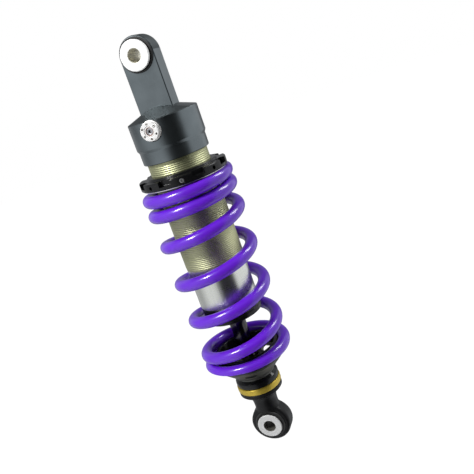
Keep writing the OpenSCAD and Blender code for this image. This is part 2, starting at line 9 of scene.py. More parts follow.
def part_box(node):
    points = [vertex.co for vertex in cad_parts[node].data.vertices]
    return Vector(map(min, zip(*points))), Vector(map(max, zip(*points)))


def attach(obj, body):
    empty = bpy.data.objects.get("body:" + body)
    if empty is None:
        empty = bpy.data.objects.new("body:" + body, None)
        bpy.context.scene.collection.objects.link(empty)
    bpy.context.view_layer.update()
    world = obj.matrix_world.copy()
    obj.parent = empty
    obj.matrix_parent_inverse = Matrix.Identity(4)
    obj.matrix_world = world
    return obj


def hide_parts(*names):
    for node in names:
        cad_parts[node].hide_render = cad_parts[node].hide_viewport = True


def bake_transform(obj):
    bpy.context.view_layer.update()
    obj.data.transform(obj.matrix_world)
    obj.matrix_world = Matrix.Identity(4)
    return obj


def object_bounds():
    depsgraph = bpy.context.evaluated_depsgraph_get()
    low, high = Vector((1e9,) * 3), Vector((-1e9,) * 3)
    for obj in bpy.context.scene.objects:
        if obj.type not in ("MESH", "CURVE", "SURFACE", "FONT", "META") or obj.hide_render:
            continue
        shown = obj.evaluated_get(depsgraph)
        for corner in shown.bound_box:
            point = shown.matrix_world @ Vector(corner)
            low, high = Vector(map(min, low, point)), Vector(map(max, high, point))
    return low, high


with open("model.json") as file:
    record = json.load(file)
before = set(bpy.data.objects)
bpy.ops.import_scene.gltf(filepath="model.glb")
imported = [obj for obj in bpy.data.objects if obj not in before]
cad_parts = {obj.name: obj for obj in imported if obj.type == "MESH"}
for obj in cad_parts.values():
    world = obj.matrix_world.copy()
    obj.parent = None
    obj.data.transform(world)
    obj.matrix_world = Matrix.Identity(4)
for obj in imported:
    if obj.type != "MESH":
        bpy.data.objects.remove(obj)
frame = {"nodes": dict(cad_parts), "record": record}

bl_info = {
    "name": "Coilover",
    "version": (1, 0, 0),
    "blender": (4, 5, 0),
    "location": "3D View > Sidebar > Coilover",
    "description": "Gas damper in a coil spring, with its finishes and a small studio",
    "category": "Add Mesh",
}

CAD_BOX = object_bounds()


def low(node):
    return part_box(node)[0]


def high(node):
    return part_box(node)[1]


def radius_and_ends(node):
    """Radius of a node turned about Z, and its lowest and highest points."""
    return high(node).x, low(node).z, high(node).z


def across_y(node):
    """Height of the axis and radius of a node turned about a line along Y."""
    return (low(node).z + high(node).z) / 2, (high(node).z - low(node).z) / 2


# ---------------------------------------------------------------- places, from the frame

HEAD_R = high("upper_mount").x
LUG_R = high("upper_mount").z
LUG_HALF = 0.007
SKIRT_Z = low("upper_mount").z
TUBE_R, TUBE_FOOT, TUBE_TOP = radius_and_ends("damper_tube")
TUBE_BORE = TUBE_R - 0.004
THREAD_LENGTH = 0.089
ADJUSTER_Z, ADJUSTER_R = across_y("compression_body")
ROD_R = high("rod").x
STEM_BORE = 0.01205
FOOT_TOP = high("lower_mount").z
LOWER_EYE_Z = across_y("lower_spacers")[0]
BOLT_R = 0.005


# ---------------------------------------------------------------- sizes and colours

def length(name, description, default):
    return bpy.props.FloatProperty(
        name=name, description=description, default=default, min=0.0, precision=5, unit="LENGTH"
    )


def colour(name, description, default):
    return bpy.props.FloatVectorProperty(
        name=name, description=description, default=default, min=0.0, max=1.0, size=3, subtype="COLOR"
    )


class CoiloverSizes(bpy.types.PropertyGroup):
    thread_pitch: length("Thread pitch", "Distance between two turns of the collar's thread", 0.0015)
    thread_length: length("Thread length", "Length of the threaded stretch below the head", THREAD_LENGTH)
    thread_depth: length("Thread depth", "Depth of the collar's thread", 0.00022)
    wire: length("Wire", "Thickness of the spring's wire", 0.010)
    coil_radius: length(
        "Coil radius", "From the damper's axis to the middle of the wire", high("spring").x - 0.005
    )
    coil_turns: bpy.props.FloatProperty(
        name="Turns", description="Number of turns, with the closed end ones", default=7.0, min=3.0, max=12.0
    )
    coil_start: bpy.props.FloatProperty(
        name="Start of the wire", description="Where the upper end of the wire starts",
        default=math.radians(134), subtype="ANGLE"
    )


class CoiloverColours(bpy.types.PropertyGroup):
    head: colour("Head", "Grey anodised head", (0.150, 0.172, 0.180))
    thread: colour("Thread", "Champagne anodised thread", (0.45, 0.46, 0.275))
    plain: colour("Plain tube", "Bright tube below the thread", (0.66, 0.67, 0.62))
    spring: colour("Spring", "Powder coat of the spring", (0.112, 0.012, 0.53))
    black: colour("Black anodised", "Collar, seats and lower mount", (0.005, 0.005, 0.0055))
    carrier: colour("Carrier", "Dark grey cone under the spring", (0.085, 0.086, 0.080))
    gold: colour("Rebound ring", "Gold anodised ring", (0.52, 0.38, 0.045))
    spacer: colour("Spacers", "Blasted spacers in the eyes", (0.80, 0.80, 0.79))
    floor: colour("Floor", "Pale floor and backdrop", (1.0, 1.0, 1.0))


# ---------------------------------------------------------------- finishes

class Signal:
    """A socket in a finish, used in plain arithmetic."""

    def __init__(self, finish, socket):
        self.finish = finish
        self.socket = socket

    def math(self, operation, first, second, clamp=False):
        return self.finish.node(
            "ShaderNodeMath", {"operation": operation, "use_clamp": clamp}, {0: first, 1: second}
        )

    def __add__(self, other):
        return self.math("ADD", self, other)

    def __sub__(self, other):
        return self.math("SUBTRACT", self, other)

    def __rsub__(self, other):
        return self.math("SUBTRACT", other, self)

    def __mul__(self, other):
        return self.math("MULTIPLY", self, other)

    def __gt__(self, other):
        return self.math("GREATER_THAN", self, other)

    __radd__ = __add__
    __rmul__ = __mul__

    def clamped(self):
        return self.math("ADD", self, 0.0, clamp=True)


class Nodes:
    """Makes nodes in one tree."""

    def __init__(self, tree):
        self.tree = tree
        tree.nodes.clear()

    def node(self, kind, settings, sockets, output=0):
        made = self.tree.nodes.new(kind)
        for key, value in settings.items():
            if key == "stops":
                ramp = made.color_ramp
                while len(ramp.elements) < len(value):
                    ramp.elements.new(0.5)
                for element, (position, shade) in zip(ramp.elements, value):
                    element.position = position
                    element.color = (*shade, 1.0)
            else:
                setattr(made, key, value)
        for key, value in sockets.items():
            if isinstance(value, Signal):
                self.tree.links.new(value.socket, made.inputs[key])
            else:
                made.inputs[key].default_value = value
        return Signal(self, made.outputs[output]) if made.outputs else None

    def spread(self, value, start, stop, lowest, highest):
        """value from start to stop becomes lowest to highest, held beyond both ends."""
        return self.node(
            "ShaderNodeMapRange", {"clamp": True},
            {"Value": value, "From Min": start, "From Max": stop, "To Min": lowest, "To Max": highest},
        )


class Finish(Nodes):
    """One finish: the nodes that make it, and the shader that shows it."""

    def __init__(self, name):
        self.material = bpy.data.materials.new(name)
        self.material.use_nodes = True
        super().__init__(self.material.node_tree)
        self.place = self.node("ShaderNodeTexCoord", {}, {}, "Object")

    def stretched(self, x, y, z):
        return self.node("ShaderNodeMapping", {}, {"Vector": self.place, "Scale": (x, y, z)})

    def around_y(self, height):
        """Distance from the line along Y at this height."""
        moved = self.node(
            "ShaderNodeVectorMath", {"operation": "SUBTRACT"}, {0: self.place, 1: (0, 0, height)}
        )
        flat = self.node("ShaderNodeVectorMath", {"operation": "MULTIPLY"}, {0: moved, 1: (1, 0, 1)})
        return self.node("ShaderNodeVectorMath", {"operation": "LENGTH"}, {0: flat}, "Value")

    def noise(self, scale, detail=2.0, along=None, rough=0.5):
        return self.node(
            "ShaderNodeTexNoise", {},
            {"Vector": along or self.place, "Scale": scale, "Detail": detail, "Roughness": rough},
        )

    def blend(self, share, first, second):
        def four(shade):
            return shade if isinstance(shade, Signal) else (*shade, 1.0)
        return self.node(
            "ShaderNodeMix", {"data_type": "RGBA"}, {0: share, 6: four(first), 7: four(second)}, 2
        )

    def bump(self, height, distance, strength=1.0, under=None):
        sockets = {"Height": height, "Distance": distance, "Strength": strength}
        if under:
            sockets["Normal"] = under
        return self.node("ShaderNodeBump", {}, sockets)

    def shader(self, **values):
        names = {
            "base": "Base Color", "rough": "Roughness", "metal": "Metallic", "normal": "Normal",
            "coat": "Coat Weight", "coat_rough": "Coat Roughness", "specular": "Specular IOR Level",
            "aniso": "Anisotropic", "aniso_turn": "Anisotropic Rotation",
        }
        sockets = {}
        for key, value in values.items():
            if key == "base" and not isinstance(value, Signal):
                value = (*value, 1.0)
            sockets[names[key]] = value
        made = self.node("ShaderNodeBsdfPrincipled", {}, sockets)
        self.node("ShaderNodeOutputMaterial", {}, {"Surface": made})
        return self.material


def darker(shade, share):
    return tuple(share * c for c in shade)


def anodised(
    name, shade, rough, metal=1.0, turned=False, coat=0.0, specular=0.5, painted_shade_at=None,
):
    """Anodised aluminium: a fine blasted or turned grain, faint clouding and a few handling marks; on the
    head it also paints shade on the cone and the rounded top of the lug.
    """
    f = Finish(name)
    if turned:
        grain = f.noise(1.0, 3.0, f.stretched(60, 60, 9000))
    else:
        grain = f.noise(5200.0, 2.0)
    cloud = f.noise(55.0, 3.0)
    marks = f.spread(f.noise(300.0, 6.0, f.stretched(1, 1, 0.35), 0.7), 0.60, 0.74, 0.0, 1.0)
    tone = f.spread(cloud, 0.35, 0.65, 0.0, 1.0)
    base = f.blend(tone, darker(shade, 0.90), darker(shade, 1.07))
    base = f.blend(marks * 0.18, base, darker(shade, 1.5))
    roughness = rough + (cloud - 0.5) * 0.16 + (grain - 0.5) * 0.10 + marks * 0.05
    if painted_shade_at:
        # painted shade: the base is darkened, and made rougher, on the cone under the lug and on the rounded
        # top of the lug, where the key light's reflection would show
        low_z, high_z, half, round_r = painted_shade_at
        x, y, z = (f.node("ShaderNodeSeparateXYZ", {}, {0: f.place}, k) for k in range(3))
        side = f.node("ShaderNodeMath", {"operation": "ABSOLUTE"}, {0: y})
        cone = (z > low_z) * (1.0 - (z > high_z)) * (side > half + 0.0002)
        crown = (z > 0.0) * f.spread(f.around_y(0.0), round_r - 0.0022, round_r - 0.0004, 0.0, 1.0)
        painted_shade_mask = (cone + crown).clamped()
        base = f.blend(painted_shade_mask, base, darker(shade, 0.42))
        roughness = roughness + painted_shade_mask * 0.28
    return f.shader(
        base=base, rough=roughness.clamped(), metal=metal, coat=coat, specular=specular,
        aniso=0.6 if turned else 0.0, aniso_turn=0.25,
        normal=f.bump(grain, 0.000006, 0.6),
    )


def bare_metal(name, shade, rough, around="Z"):
    """Turned steel or aluminium: fine rings from the tool, with a little tarnish."""
    f = Finish(name)
    stretch = (50, 50, 8000) if around == "Z" else (50, 8000, 50)
    rings = f.noise(1.0, 3.0, f.stretched(*stretch))
    tarnish = f.spread(f.noise(90.0, 4.0), 0.4, 0.7, 0.0, 1.0)
    base = f.blend(tarnish, shade, darker(shade, 0.86))
    roughness = rough + (rings - 0.5) * 0.18 + tarnish * 0.06
    return f.shader(base=base, rough=roughness.clamped(), metal=1.0, normal=f.bump(rings, 0.000004, 0.5))


def rubber(name, shade=(0.014, 0.014, 0.014)):
    """Moulded rubber: matt, with a fine grain and a faint bloom."""
    f = Finish(name)
    grain = f.noise(2600.0, 3.0)
    bloom = f.spread(f.noise(70.0, 4.0), 0.45, 0.75, 0.0, 1.0)
    base = f.blend(bloom, shade, darker(shade, 1.9))
    roughness = 0.58 + (grain - 0.5) * 0.2 + bloom * 0.1
    return f.shader(base=base, rough=roughness.clamped(), normal=f.bump(grain, 0.00001, 0.7))


def powder_coat(name, shade):
    """Glossy powder coat: slight orange peel, flow-out and tiny specks."""
    f = Finish(name)
    peel = f.noise(620.0, 2.0)
    fine = f.noise(3600.0, 2.0)
    cloud = f.spread(f.noise(40.0, 2.0), 0.35, 0.65, 0.0, 1.0)
    base = f.blend(cloud, darker(shade, 0.95), darker(shade, 1.04))
    roughness = 0.30 + (fine - 0.5) * 0.06 + (cloud - 0.5) * 0.04
    return f.shader(
        base=base, rough=roughness.clamped(), coat=0.55, coat_rough=0.15, specular=0.25,
        normal=f.bump(peel, 0.00003, 0.35, f.bump(fine, 0.000004, 0.4)),
    )


def tube_finish(name, thread, plain, border):
    """Champagne thread above the border, bright ground tube below it."""
    f = Finish(name)
    height = f.node("ShaderNodeSeparateXYZ", {}, {0: f.place}, 2)
    below = f.spread(height, border + 0.0004, border - 0.0004, 0.0, 1.0)
    rings = f.noise(1.0, 3.0, f.stretched(40, 40, 7000))
    long_marks = f.noise(1.0, 3.0, f.stretched(700, 700, 12))
    cloud = f.spread(f.noise(60.0, 3.0), 0.35, 0.65, 0.0, 1.0)
    warm = f.blend(cloud, darker(thread, 0.92), darker(thread, 1.06))
    cool = f.blend(f.spread(long_marks, 0.4, 0.7, 0.0, 1.0), plain, darker(plain, 0.93))
    base = f.blend(below, warm, cool)
    roughness = 0.50 - below * 0.22 + (rings - 0.5) * 0.08 + (cloud - 0.5) * 0.04
    return f.shader(
        base=base, rough=roughness.clamped(), metal=1.0, aniso=0.3, aniso_turn=0.25,
        normal=f.bump(rings, 0.000002, 0.15),
    )


def polished_rod(name):
    """Dark, hard-coated rod: a mirror with faint rubbing marks along the stroke."""
    f = Finish(name)
    rub = f.noise(1.0, 4.0, f.stretched(1500, 1500, 18))
    fine = f.noise(1.0, 2.0, f.stretched(80, 80, 6000))
    base = f.blend(f.spread(rub, 0.45, 0.7, 0.0, 1.0), (0.050, 0.048, 0.050), (0.075, 0.072, 0.072))
    roughness = 0.13 + (rub - 0.5) * 0.10 + (fine - 0.5) * 0.04
    return f.shader(base=base, rough=roughness.clamped(), metal=1.0, normal=f.bump(fine, 0.000002, 0.4))


def blasted(name, shade, rough=0.52, metal=0.35, core_colour_or_bore_shade=None):
    """Bead-blasted aluminium: pale, matt and finely pitted, with an inner colour inside a given radius if one
    is given: the copper ring's own colour, or painted shade inside a spacer's bore.
    """
    f = Finish(name)
    pits = f.noise(4200.0, 3.0)
    cloud = f.spread(f.noise(120.0, 3.0), 0.35, 0.7, 0.0, 1.0)
    base = f.blend(cloud, shade, darker(shade, 0.93))
    if core_colour_or_bore_shade:
        radius, height, inner = core_colour_or_bore_shade
        # inside the radius the inner colour is used: painted shade in a spacer's bore, the copper ring's own
        # colour on the adjuster
        base = f.blend(f.around_y(height) > radius, inner, base)
    roughness = rough + (pits - 0.5) * 0.2
    return f.shader(
        base=base, rough=roughness.clamped(), metal=metal, normal=f.bump(pits, 0.00001, 0.5)
    )


def forged_black(name, shade):
    """Satin black on a forged eye: soft hammered relief under the coating."""
    f = Finish(name)
    relief = f.noise(260.0, 3.0)
    grain = f.noise(3200.0, 2.0)
    wear = f.spread(f.noise(140.0, 5.0), 0.58, 0.72, 0.0, 1.0)
    base = f.blend(wear * 0.4, shade, darker(shade, 1.8))
    roughness = 0.40 + (relief - 0.5) * 0.12 + (grain - 0.5) * 0.12
    return f.shader(
        base=base, rough=roughness.clamped(), coat=0.06, coat_rough=0.25, specular=0.16,
        normal=f.bump(relief, 0.00008, 0.35, f.bump(grain, 0.000006, 0.6)),
    )


FINISHES = {}


def make_finishes(colours):
    c = colours
    bore_r = BOLT_R + 0.0003
    face = (0.88, 0.87, 0.85)
    FINISHES.update(
        grey_anodised=anodised(
            "grey_anodised", tuple(c.head), 0.30,
            # painted shade on the head's cone and the rounded top of its lug
            painted_shade_at=(ADJUSTER_Z + 0.0066, ADJUSTER_Z + 0.0155, LUG_HALF, LUG_R),
        ),
        champagne_thread=tube_finish(
            "champagne_thread", tuple(c.thread), tuple(c.plain), SKIRT_Z - THREAD_LENGTH
        ),
        black_anodised=anodised(
            "black_anodised", tuple(c.black), 0.25, metal=0.0, turned=True, coat=0.06, specular=0.22
        ),
        carrier_grey=anodised("carrier_grey", tuple(c.carrier), 0.36, metal=0.6, turned=True),
        gold_anodised=anodised("gold_anodised", tuple(c.gold), 0.42, metal=0.55, turned=True),
        # the upper spacer's bore is darkened with painted shade
        spacer_white=blasted("spacer_white", tuple(c.spacer), core_colour_or_bore_shade=(bore_r, 0.0, (0.62, 0.60, 0.50))),
        spacer_grey=blasted(
            # the lower spacer's bore is darkened much further with painted shade
            "spacer_grey", darker(tuple(c.spacer), 0.74), core_colour_or_bore_shade=(bore_r, LOWER_EYE_Z, (0.12, 0.115, 0.10))
        ),
        bright_aluminium=bare_metal("bright_aluminium", (0.80, 0.80, 0.79), 0.26),
        adjuster_face=blasted("adjuster_face", face, 0.40, 0.6),
        spring_purple=powder_coat("spring_purple", tuple(c.spring)),
        dark_rod=polished_rod("dark_rod"),
        steel=bare_metal("steel", (0.52, 0.52, 0.53), 0.30, "Y"),
        copper_tint=blasted(
            "copper_tint", face, 0.40, 0.6, core_colour_or_bore_shade=(ADJUSTER_R * 0.42, ADJUSTER_Z, (0.30, 0.17, 0.13))
        ),
        brass=bare_metal("brass", (0.62, 0.43, 0.16), 0.30, "Y"),
        rubber_black=rubber("rubber_black"),
        bush_bronze=bare_metal("bush_bronze", (0.40, 0.24, 0.12), 0.42),
        band_green=rubber("band_green", (0.03, 0.13, 0.09)),
        forged_black=forged_black("forged_black", darker(tuple(c.black), 1.2)),
    )


# ---------------------------------------------------------------- shaping

def keep(bm, name):
    """Merges doubles, turns the faces outwards and makes the object."""
    bmesh.ops.remove_doubles(bm, verts=bm.verts, dist=1e-7)
    bmesh.ops.dissolve_degenerate(bm, edges=bm.edges, dist=1e-7)
    bmesh.ops.recalc_face_normals(bm, faces=bm.faces)
    mesh = bpy.data.meshes.new(name)
    bm.to_mesh(mesh)
    bm.free()
    piece = bpy.data.objects.new(name, mesh)
    bpy.context.scene.collection.objects.link(piece)
    return piece


def rounded(corners, steps=4):
    """The outline through (radius, height, rounding) corners, with an arc at each rounded one."""
    points = []
    for i, (r, z, size) in enumerate(corners):
        here = Vector((r, z))
        if not size:
            points.append(here)
            continue
        before = Vector(corners[i - 1][:2]) - here
        after = Vector(corners[(i + 1) % len(corners)][:2]) - here
        half = before.angle(after) / 2
        back = min(size / math.tan(half), 0.49 * before.length, 0.49 * after.length)
        size = back * math.tan(half)
        centre = here + (before.normalized() + after.normalized()).normalized() * size / math.sin(half)
        start = here + before.normalized() * back - centre
        stop = here + after.normalized() * back - centre
        sweep = start.angle_signed(stop)
        for k in range(steps + 1):
            turn = Matrix.Rotation(-sweep * k / steps, 2)
            points.append(centre + turn @ start)
    return points


def turned(name, corners, steps=128, closed=True, arc=4):
    """A piece turned about Z from its outline of (radius, height, rounding) corners."""
    bm = bmesh.new()
    verts = [bm.verts.new((p.x, 0, p.y)) for p in rounded(corners, arc)]
    pairs = list(zip(verts, verts[1:])) + ([(verts[-1], verts[0])] if closed else [])
    edges = [bm.edges.new(pair) for pair in pairs]
    bmesh.ops.spin(
        bm, geom=verts + edges, cent=(0, 0, 0), axis=(0, 0, 1), dvec=(0, 0, 0),
        angle=math.tau, steps=steps, use_merge=True, use_duplicate=False,
    )
    return keep(bm, name)


def placed(piece, matrix):
    piece.data.transform(matrix)
    if matrix.determinant() < 0:
        piece.data.flip_normals()
    return piece


ALONG_Y = Matrix.Rotation(-math.pi / 2, 4, "X")
ALONG_X = Matrix.Rotation(math.pi / 2, 4, "Y")


def at(x=0.0, y=0.0, z=0.0):
    return Matrix.Translation((x, y, z))


def along_y(piece, z):
    """Lays a piece that was made along Z on a line along Y at height z."""
    return placed(piece, at(z=z) @ ALONG_Y)


def moved_verts(made):
    """The vertices among what a bmesh operator returned."""
    return [g for g in made["geom"] if isinstance(g, bmesh.types.BMVert)]


def both_sides(name, piece):
    """A piece and its mirror image across the object's middle plane, in one object."""
    twin = bpy.data.objects.new(piece.name, piece.data.copy())
    bpy.context.scene.collection.objects.link(twin)
    return merged(name, [piece, placed(twin, Matrix.Scale(-1, 4, (0, 1, 0)))])


def merged(name, pieces):
    """Several meshes in one object."""
    bm = bmesh.new()
    for piece in pieces:
        bm.from_mesh(piece.data)
        bpy.data.objects.remove(piece)
    mesh = bpy.data.meshes.new(name)
    bm.to_mesh(mesh)
    bm.free()
    made = bpy.data.objects.new(name, mesh)
    bpy.context.scene.collection.objects.link(made)
    return made


def applied(piece):
    """Keeps what the modifiers make as the piece's own mesh."""
    bpy.context.view_layer.update()
    shown = piece.evaluated_get(bpy.context.evaluated_depsgraph_get())
    mesh = bpy.data.meshes.new_from_object(shown)
    piece.modifiers.clear()
    piece.data = mesh
    mesh.name = piece.name
    return piece


def combined(piece, tool, operation):
    """Joins tool to piece, or cuts it away, and removes tool."""
    cutter = piece.modifiers.new("cut", "BOOLEAN")
    cutter.operation = operation
    cutter.solver = "EXACT"
    cutter.object = tool
    applied(piece)
    bpy.data.objects.remove(tool)
    if not piece.data.polygons:
        raise RuntimeError(f"{piece.name} was lost while it was cut")
    return piece


def softened(piece, width, segments=3, angle=40.0):
    """Rounds the sharp edges left by cutting."""
    bevel = piece.modifiers.new("edges", "BEVEL")
    bevel.width = width
    bevel.segments = segments
    bevel.limit_method = "ANGLE"
    bevel.angle_limit = math.radians(angle)
    bevel.use_clamp_overlap = True
    return applied(piece)


def smooth(piece, angle=34.0):
    """Smooth shading that stops at sharp edges, with flat faces kept flat."""
    bm = bmesh.new()
    bm.from_mesh(piece.data)
    for face in bm.faces:
        face.smooth = True
    for edge in bm.edges:
        edge.smooth = len(edge.link_faces) == 2 and edge.calc_face_angle(0.0) < math.radians(angle)
    bm.to_mesh(piece.data)
    bm.free()
    weighted = piece.modifiers.new("flats", "WEIGHTED_NORMAL")
    weighted.keep_sharp = True
    weighted.weight = 60
    return piece


def dress(piece, body, slot, nodes, finish=None, angle=34.0):
    """Gives a finished piece its shading, finish, body and the nodes it stands for."""
    smooth(piece, angle)
    piece.data.materials.clear()
    piece.data.materials.append(FINISHES[finish or slot])
    if body:
        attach(piece, body)
    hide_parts(*nodes)
    return piece


def cylinder(name, radius, start, stop, steps=96):
    """A straight cutter along Z."""
    return turned(
        name, [(0, start, 0), (radius, start, 0), (radius, stop, 0), (0, stop, 0)], steps, closed=False
    )


def eye_bore(name, radius, half, z, flare):
    """Cutter for an eye's bore along Y, flared at both faces of the eye."""
    cutter = turned(
        name,
        [(0, -half - 0.01, 0), (radius + 0.01, -half - 0.01, 0), (radius + flare, -half, 0),
         (radius, -half + flare, 0), (radius, half - flare, 0), (radius + flare, half, 0),
         (radius + 0.01, half + 0.01, 0), (0, half + 0.01, 0)],
        128, closed=False,
    )
    return along_y(cutter, z)


# ---------------------------------------------------------------- pieces

class Piece:
    """What every operator here shares."""
    bl_options = {"REGISTER", "UNDO"}

    @property
    def sizes(self):
        return bpy.context.scene.coilover_sizes

    @property
    def colours(self):
        return bpy.context.scene.coilover_colours


class COILOVER_OT_finishes(Piece, bpy.types.Operator):
    """Makes every finish and gives the inner pieces theirs"""
    bl_idname = "coilover.finishes"
    bl_label = "Finishes"

    def execute(self, context):
        make_finishes(self.colours)
        for subpart in frame["record"]["subparts"]:
            node = frame["nodes"][subpart["node"]]
            node.data.materials.clear()
            node.data.materials.append(FINISHES[subpart["material_slot"]])
        return {"FINISHED"}


class COILOVER_OT_head(Piece, bpy.types.Operator):
    """The head: a flat lug with a round eye on a turned cap"""
    bl_idname = "coilover.head"
    bl_label = "Head"

    def execute(self, context):
        head_z = ADJUSTER_Z + 0.007
        step_z = head_z - 0.021
        skirt_r = TUBE_R + 0.0023
        socket_r = TUBE_R + 0.0003
        slope = math.tan(math.radians(20))
        top_z = head_z + (HEAD_R - LUG_HALF) * slope
        cap = turned("cap", [
            (0, top_z, 0), (LUG_HALF, top_z, 0), (HEAD_R, head_z, 0.0009),
            (HEAD_R, step_z + 0.0010, 0.0012), (skirt_r, step_z - 0.0012, 0.0012),
            (skirt_r, SKIRT_Z, 0.0030), (socket_r, SKIRT_Z, 0.0003), (socket_r, step_z - 0.004, 0),
            (0.004, step_z - 0.004, 0),
        ], steps=160, closed=False, arc=6)
        # the inside is closed by a flat disc above the tube
        bm = bmesh.new()
        bm.from_mesh(cap.data)
        for edges in loops_of_boundary(bm):
            bmesh.ops.contextual_create(bm, geom=edges)
        bmesh.ops.recalc_face_normals(bm, faces=bm.faces)
        bm.to_mesh(cap.data)
        bm.free()
        lug = rounded_lug("lug", LUG_R, LUG_HALF, head_z - 0.002, 0.0011)
        head = combined(cap, lug, "UNION")
        race_r = high("upper_race").x
        head = combined(head, eye_bore("bore", race_r + 0.00005, LUG_HALF, 0.0, 0.0004), "DIFFERENCE")
        seat_r, mouth_r = ADJUSTER_R + 0.0001, ADJUSTER_R + 0.0006
        seat = turned("seat", [
            (0, -0.016, 0), (seat_r, -0.016, 0), (seat_r, -HEAD_R + 0.0012, 0),
            (mouth_r, -HEAD_R + 0.0006, 0), (mouth_r, -HEAD_R - 0.004, 0), (0, -HEAD_R - 0.004, 0),
        ], 96, closed=False)
        head = combined(head, along_y(seat, ADJUSTER_Z), "DIFFERENCE")
        cap_r = across_y("gas_valve_cap")[1]
        port = turned("port", [
            (0, 0.0135, 0), (cap_r + 0.00005, 0.0135, 0), (cap_r + 0.00005, HEAD_R - 0.0008, 0),
            (cap_r + 0.0006, HEAD_R - 0.0002, 0), (cap_r + 0.0006, HEAD_R + 0.003, 0),
            (0, HEAD_R + 0.003, 0),
        ], 64, closed=False)
        head = combined(head, along_y(port, ADJUSTER_Z), "DIFFERENCE")
        head.name = "Head"
        dress(head, "damper_body", "grey_anodised", ["upper_mount"], angle=28.0)
        return {"FINISHED"}


def loops_of_boundary(bm):
    """The open edge loops of a mesh, each as its list of edges."""
    left = {e for e in bm.edges if e.is_boundary}
    loops = []
    while left:
        loop, queue = [], [next(iter(sorted(left, key=lambda e: e.index)))]
        while queue:
            e = queue.pop()
            if e not in left:
                continue
            left.discard(e)
            loop.append(e)
            queue.extend(n for v in e.verts for n in v.link_edges if n in left)
        loops.append(loop)
    return loops


def rounded_lug(name, radius, half, foot_z, edge):
    """A flat lug standing on foot_z: parallel sides and a round top about the origin."""
    bm = bmesh.new()
    verts = [bm.verts.new((radius, -half, foot_z))]
    verts += [
        bm.verts.new((radius * math.cos(math.pi * k / 48), -half, radius * math.sin(math.pi * k / 48)))
        for k in range(49)
    ]
    verts.append(bm.verts.new((-radius, -half, foot_z)))
    face = bm.faces.new(verts)
    pushed = bmesh.ops.extrude_face_region(bm, geom=[face])
    bmesh.ops.translate(bm, verts=moved_verts(pushed), vec=(0, 2 * half, 0))
    rim = [
        e for e in bm.edges
        if abs(e.verts[0].co.y - e.verts[1].co.y) < 1e-6
        and not (e.verts[0].co.z < foot_z + 1e-6 and e.verts[1].co.z < foot_z + 1e-6)
    ]
    bmesh.ops.bevel(
        bm, geom=rim, offset=edge, offset_type="OFFSET", affect="EDGES", segments=4,
        profile=0.5, material=-1, clamp_overlap=True,
    )
    return keep(bm, name)


class COILOVER_OT_eyes(Piece, bpy.types.Operator):
    """Spacers and dust seals in both eyes"""
    bl_idname = "coilover.eyes"
    bl_label = "Spacers and seals"

    def execute(self, context):
        for where, z, mount, sleeve, finish, trim in (
            ("upper", 0.0, "damper_body", "upper_sleeve", "spacer_white", 0.0),
            ("lower", LOWER_EYE_Z, "rod_assembly", "lower_sleeve", "spacer_grey", 0.0009),
        ):
            face = high(f"{where}_spacers").y
            radius = high(f"{where}_spacers").x - trim
            seal_r, seal_face = high(f"{where}_dust_seals").x, high(f"{where}_dust_seals").y
            flange = seal_face + 0.0011
            shank = BOLT_R + 0.001
            spacer = turned("spacer", [
                (BOLT_R, face, 0.0004), (BOLT_R, 0.00005, 0), (shank, 0.00005, 0), (shank, flange, 0.0003),
                (radius, flange, 0.0004), (radius, face, 0.0006),
            ], 112)
            pair = both_sides(f"Spacers_{where}", along_y(spacer, z))
            dress(pair, sleeve, "spacer_white", [f"{where}_spacers"], finish)
            inner = shank + 0.0014
            near = seal_face - 0.001
            groove = seal_face - 0.0004
            lip = turned("seal", [
                (inner, near, 0), (seal_r, near, 0.0002), (seal_r, seal_face, 0.00035),
                (seal_r - 0.0012, seal_face, 0.0003), (seal_r - 0.0017, groove, 0.0003),
                (inner + 0.0022, groove, 0.0003), (inner + 0.0010, seal_face, 0.0003),
                (inner, seal_face, 0.0002),
            ], 112)
            pair = both_sides(f"Dust_seals_{where}", along_y(lip, z))
            dress(pair, mount, "rubber_black", [f"{where}_dust_seals"])
        return {"FINISHED"}


